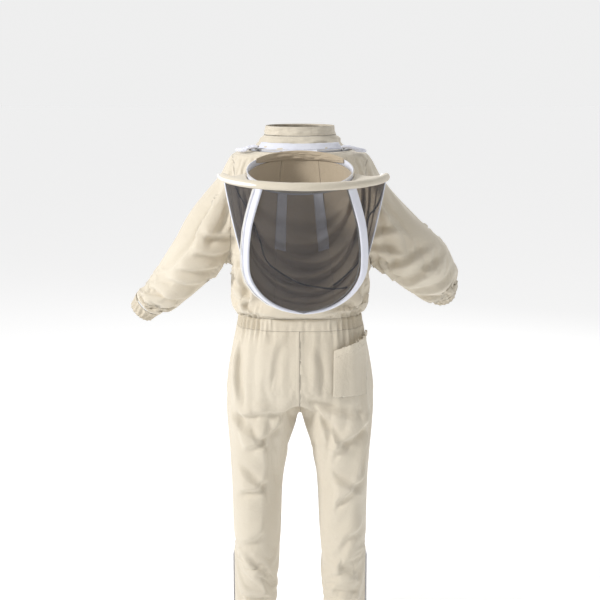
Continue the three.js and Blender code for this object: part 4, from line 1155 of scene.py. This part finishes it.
def centre_net(u, v):
    t = 0.5 * v * 0.99
    left, right = arch_at(t), arch_at(1 - t)
    place = left.lerp(right, u)
    bow = math.sin(math.pi * u)
    place.y += bow * (26 * (1 - v) ** 0.7 + 6)
    place.z -= bow * 12 * (1 - v)
    ripple = noise.noise(Vector((u * 3, v * 5, 1.7)))
    return place + Vector((0, 3.2, 0)) * ripple * bow * min(1, 6 * v)


net_sheet("face_net", centre_net, 60, 70, "veil_centre_net", 220, 280)
SEAM_MEETS = 0.3


def side_seam(side, v):
    foot = hoop_at(0 if side < 0 else 1)
    head = arch_at(SEAM_MEETS if side < 0 else 1 - SEAM_MEETS)
    knee = foot.lerp(head, 0.5) + Vector((side * 10, -8, 4))
    return foot * (1 - v) ** 2 + knee * 2 * v * (1 - v) + head * v * v


for side, hand in ((-1, "left"), (1, "right")):
    def side_net(u, v, side=side):
        share = v * 0.97 * SEAM_MEETS
        on_arch = arch_at(share if side < 0 else 1 - share)
        place = on_arch.lerp(side_seam(side, v * 0.97), u)
        bow = math.sin(math.pi * u) * (1 - v)
        return place + Vector((side * 0.72, 0.69, 0)) * 24 * bow + Vector((0, 0, -12 * bow))
    net_sheet(f"side_net_{hand}", side_net, 26, 40, f"veil_side_net_{hand}", 110, 190)
    seam_frames = frames_along(lambda t, side=side: side_seam(side, t * 0.97), Vector((0, 20, 120)), 30)
    swept(
        f"side_binding_{hand}", 14, seam_frames, tape_section(3.6, 1.9), cotton_tape, [f"side_seam_binding_{hand}"]
    )

# ------------------------------------------------------------ hood: cloth
# Khaki drill from the back half of the zip over the crown to the side seams and the arch. Thrown back it hangs
# upside down and its spare cloth sinks into rounded folds behind the veil.
RING = 130.2


def crown_front(u):
    part = 0.24
    if u < part:
        return side_seam(-1, u / part)
    if u > 1 - part:
        return side_seam(1, (1 - u) / part)
    return arch_at(SEAM_MEETS + (u - part) / (1 - 2 * part) * (1 - 2 * SEAM_MEETS))


def crown_at(u, v):
    a = -math.pi * (1 - u)
    start = Vector((RING * math.cos(a), RING * math.sin(a), 18.3))
    end = crown_front(u)
    lift = math.sin(math.pi * u)
    first = start + Vector((start.x / 131 * 46 * lift, 26 * lift, 20 + 170 * lift ** 1.2))
    second = end + Vector((end.x / 200 * 6, -24 - 118 * lift ** 2, 34 * lift ** 2))
    s = 1 - v
    return start * s ** 3 + first * 3 * s * s * v + second * 3 * s * v * v + end * v ** 3


def crown_cloth_at(u, v):
    """The crown with its spare cloth sunk into swags, lowest in the middle, and a few slanting folds."""
    place = crown_at(u, v)
    hang = math.sin(math.pi * u) ** 0.7 * math.sin(math.pi * min(max(v, 0), 1)) ** 0.6
    proud = 0.0
    for middle, centre, dip, wide, height in (
        (0.52, 0.30, 0.16, 0.030, 8), (0.44, 0.43, 0.30, 0.032, 14), (0.56, 0.53, 0.34, 0.030, 16),
        (0.47, 0.63, 0.36, 0.028, 17), (0.54, 0.73, 0.34, 0.026, 13), (0.48, 0.84, 0.20, 0.026, 9),
    ):
        low = centre - dip * (2 * (u - middle)) ** 2 + 0.03 * noise.noise(Vector((u * 5, centre * 9, 2.5)))
        roll = math.exp(-(((v - low) / wide) ** 2))
        valley = math.exp(-(((v - low - 1.7 * wide) / wide) ** 2))
        proud += 1.5 * height * (roll - 0.75 * valley)
    proud += 9 * noise.noise(Vector((u * 4.2, v * 3.1, 7.7))) + 3.5 * noise.noise(Vector((u * 12, v * 9, 1.2)))
    return place + Vector((0, 0.9, -0.44)) * proud * hang


crown = bmesh.new()
bmesh.ops.create_grid(crown, x_segments=150, y_segments=110, size=0.5)
spot_at = crown.verts.layers.float_vector.new("spot")
for v in crown.verts:
    u, w = v.co.x + 0.5, v.co.y + 0.5
    v[spot_at] = (u, w, 0)
    v.co = on_hood(crown_cloth_at(u, w * 0.985))
bmesh.ops.recalc_face_normals(crown, faces=crown.faces)
crown_piece = bpy.data.objects.new("crown", bpy.data.meshes.new("crown"))
crown.to_mesh(crown_piece.data)
scene.collection.objects.link(crown_piece)
spots = [Vector(v[spot_at]) for v in crown.verts]
crown.free()


def crown_cut(name, nodes, wanted, material, lift=0.0, thick=0.0012, edge=None):
    bm = bmesh.new()
    bm.from_mesh(crown_piece.data)
    bm.verts.ensure_lookup_table()
    layer = bm.verts.layers.float.new("seam")
    for v in bm.verts:
        s = spots[v.index]
        v[layer] = edge(s) if edge else min(s.x * 0.5, (1 - s.x) * 0.5, s.y * 0.4, (1 - s.y) * 0.4)
    normals = [v.normal.copy() for v in bm.verts]
    for v, out in zip(bm.verts, normals):
        v.co += out * lift
    away = []
    for f in bm.faces:
        s = sum((spots[v.index] for v in f.verts), Vector()) / len(f.verts)
        if not wanted(s):
            away.append(f)
    bmesh.ops.delete(bm, geom=away, context="FACES")
    made = bpy.data.objects.new(name, bpy.data.meshes.new(name))
    return finish_cloth(made, bm, material, "hood", nodes, thick=thick, offset=0.0)


PARTING = (0.382, 0.618)


def parting_edge(s):
    return min(abs(s.x - PARTING[0]) * 0.5, abs(s.x - PARTING[1]) * 0.5, s.y * 0.4, (1 - s.y) * 0.4)


# The crown's pieces take the darker drill: painted shade inside the hood.
crown_cut("crown_cloth_left", ["hood_side_left_panel"], lambda s: s.x < PARTING[0], drill_hood_painted_shade, edge=parting_edge)
crown_cut("crown_cloth_right", ["hood_side_right_panel"], lambda s: s.x > PARTING[1], drill_hood_painted_shade, edge=parting_edge)
crown_cut(
    "crown_cloth_back", ["hood_back_panel"], lambda s: PARTING[0] <= s.x <= PARTING[1], drill_hood_painted_shade, edge=parting_edge
)
inside = on_hood((0, 20, 160)) - on_hood(crown_at(0.5, 0.4))
middle_index = min(range(len(spots)), key=lambda i: (spots[i] - Vector((0.5, 0.4, 0))).length)
inward = 1 if crown_piece.data.vertices[middle_index].normal.dot(inside) > 0 else -1
for hand, low, high in (("left", 0.372, 0.425), ("right", 0.575, 0.628)):
    crown_cut(
        f"lining_tape_{hand}", [f"hood_tape_{hand}"],
        lambda s: low < s.x < high and 0.12 < s.y < 0.48, cotton_tape, lift=0.0022 * inward, edge=lambda s: 0.05,
    )
crown_cut(
    "lining_patch", ["hood_patch"], lambda s: 0.43 < s.x < 0.57 and 0.12 < s.y < 0.44,
    drill_hood_painted_shade, lift=0.0016 * inward, edge=lambda s: min(s.y - 0.12, 0.44 - s.y) * 0.4,
)
bpy.data.objects.remove(crown_piece)

# Narrow near-black strips lie on the crown along slanting lines that cross its panel joins; they are painted shade for
# the dark fold lines that show through the veil.
painted_shade_finish = cloth_finish("painted_shade_black", (0.03, 0.028, 0.03), (0.018, 0.017, 0.018), crumple=0.3, seams=0.0, sheen=0.1)


def painted_shade_line(name, spots_on, wide):
    """A near-black strip of painted shade lying on the crown through the given places of it."""
    steps = 60
    bm = bmesh.new()
    loops = []
    places = [Vector(along_path([(u, v, 0) for u, v in spots_on], k / steps)) for k in range(steps + 1)]
    points = [crown_cloth_at(q.x, q.y * 0.985) + Vector((0, 4.2, -1.5)) for q in places]
    for k, point in enumerate(points):
        ahead = (points[min(k + 1, steps)] - points[max(k - 1, 0)]).normalized()
        across = ahead.cross(Vector((0, 1, -0.3))).normalized()
        out = across.cross(ahead).normalized()
        loops.append(loop(bm, 10, lambda a: on_hood(point + across * wide * math.cos(a) + out * 1.3 * math.sin(a))))
    skin(bm, loops)
    bmesh.ops.recalc_face_normals(bm, faces=bm.faces)
    mesh_piece(name, bm, painted_shade_finish, "hood")


# Two painted shade lines across the crown, one from each side.
painted_shade_line(
    "painted_shade_line_left",
    [(0.03, 0.52), (0.11, 0.42), (0.20, 0.38), (0.28, 0.46), (0.33, 0.58), (0.41, 0.63), (0.50, 0.69), (0.58, 0.74),
     (0.68, 0.84)], 2.4,
)
painted_shade_line(
    "painted_shade_line_right",
    [(0.96, 0.90), (0.91, 0.75), (0.88, 0.65), (0.83, 0.70), (0.77, 0.74), (0.70, 0.72), (0.62, 0.745)], 2.4,
)

# Across the closed back of the round zip the hood's cloth bunches up over the tape in soft rolls.
rolls = bmesh.new()
bmesh.ops.create_grid(rolls, x_segments=140, y_segments=24, size=0.5)
seam_layer = rolls.verts.layers.float.new("seam")
for v in rolls.verts:
    u, w = v.co.x, v.co.y + 0.5
    a = math.radians(-90 + 118 * u)
    fade = math.cos(math.pi * u) ** 0.6
    full = 5.5 * noise.noise(Vector((a * 3.1, w * 3.4, 5.5))) + 2.2 * noise.noise(Vector((a * 9, w * 7, 0.5)))
    radius = 127.4 - (2.5 + abs(full)) * fade * math.sin(math.pi * w) ** 0.7
    v.co = on_hood((radius * math.cos(a), radius * math.sin(a), -3 + 25 * w * (0.4 + 0.6 * fade)))
    v[seam_layer] = 0.05
bmesh.ops.recalc_face_normals(rolls, faces=rolls.faces)
# The rolls take the darker drill: painted shade.
made = bpy.data.objects.new("nape_rolls", bpy.data.meshes.new("nape_rolls"))
finish_cloth(made, rolls, drill_hood_painted_shade, "hood", [], thick=0.0012, offset=0.0)

# Chin panel: drill from the front half of the zip out to the hoop.
chin = bmesh.new()
bmesh.ops.create_grid(chin, x_segments=120, y_segments=26, size=0.5)
seam_layer = chin.verts.layers.float.new("seam")
for v in chin.verts:
    u, w = v.co.x + 0.5, v.co.y + 0.5
    a = math.pi * (1 - u)
    start = Vector((133 * math.cos(a), 133 * math.sin(a), 12.3))
    place = start.lerp(hoop_at(u), w * 0.985)
    place.z += 4 * math.sin(math.pi * w) + 3.2 * noise.noise(Vector((u * 9, w * 2.2, 0.4))) * math.sin(math.pi * w)
    v[seam_layer] = min(w, 1 - w) * 0.075
    v.co = on_hood(place)
bmesh.ops.recalc_face_normals(chin, faces=chin.faces)
made = bpy.data.objects.new("chin_cloth", bpy.data.meshes.new("chin_cloth"))
finish_cloth(made, chin, drill, "hood", ["chin_panel"], thick=0.0014, offset=0.0)
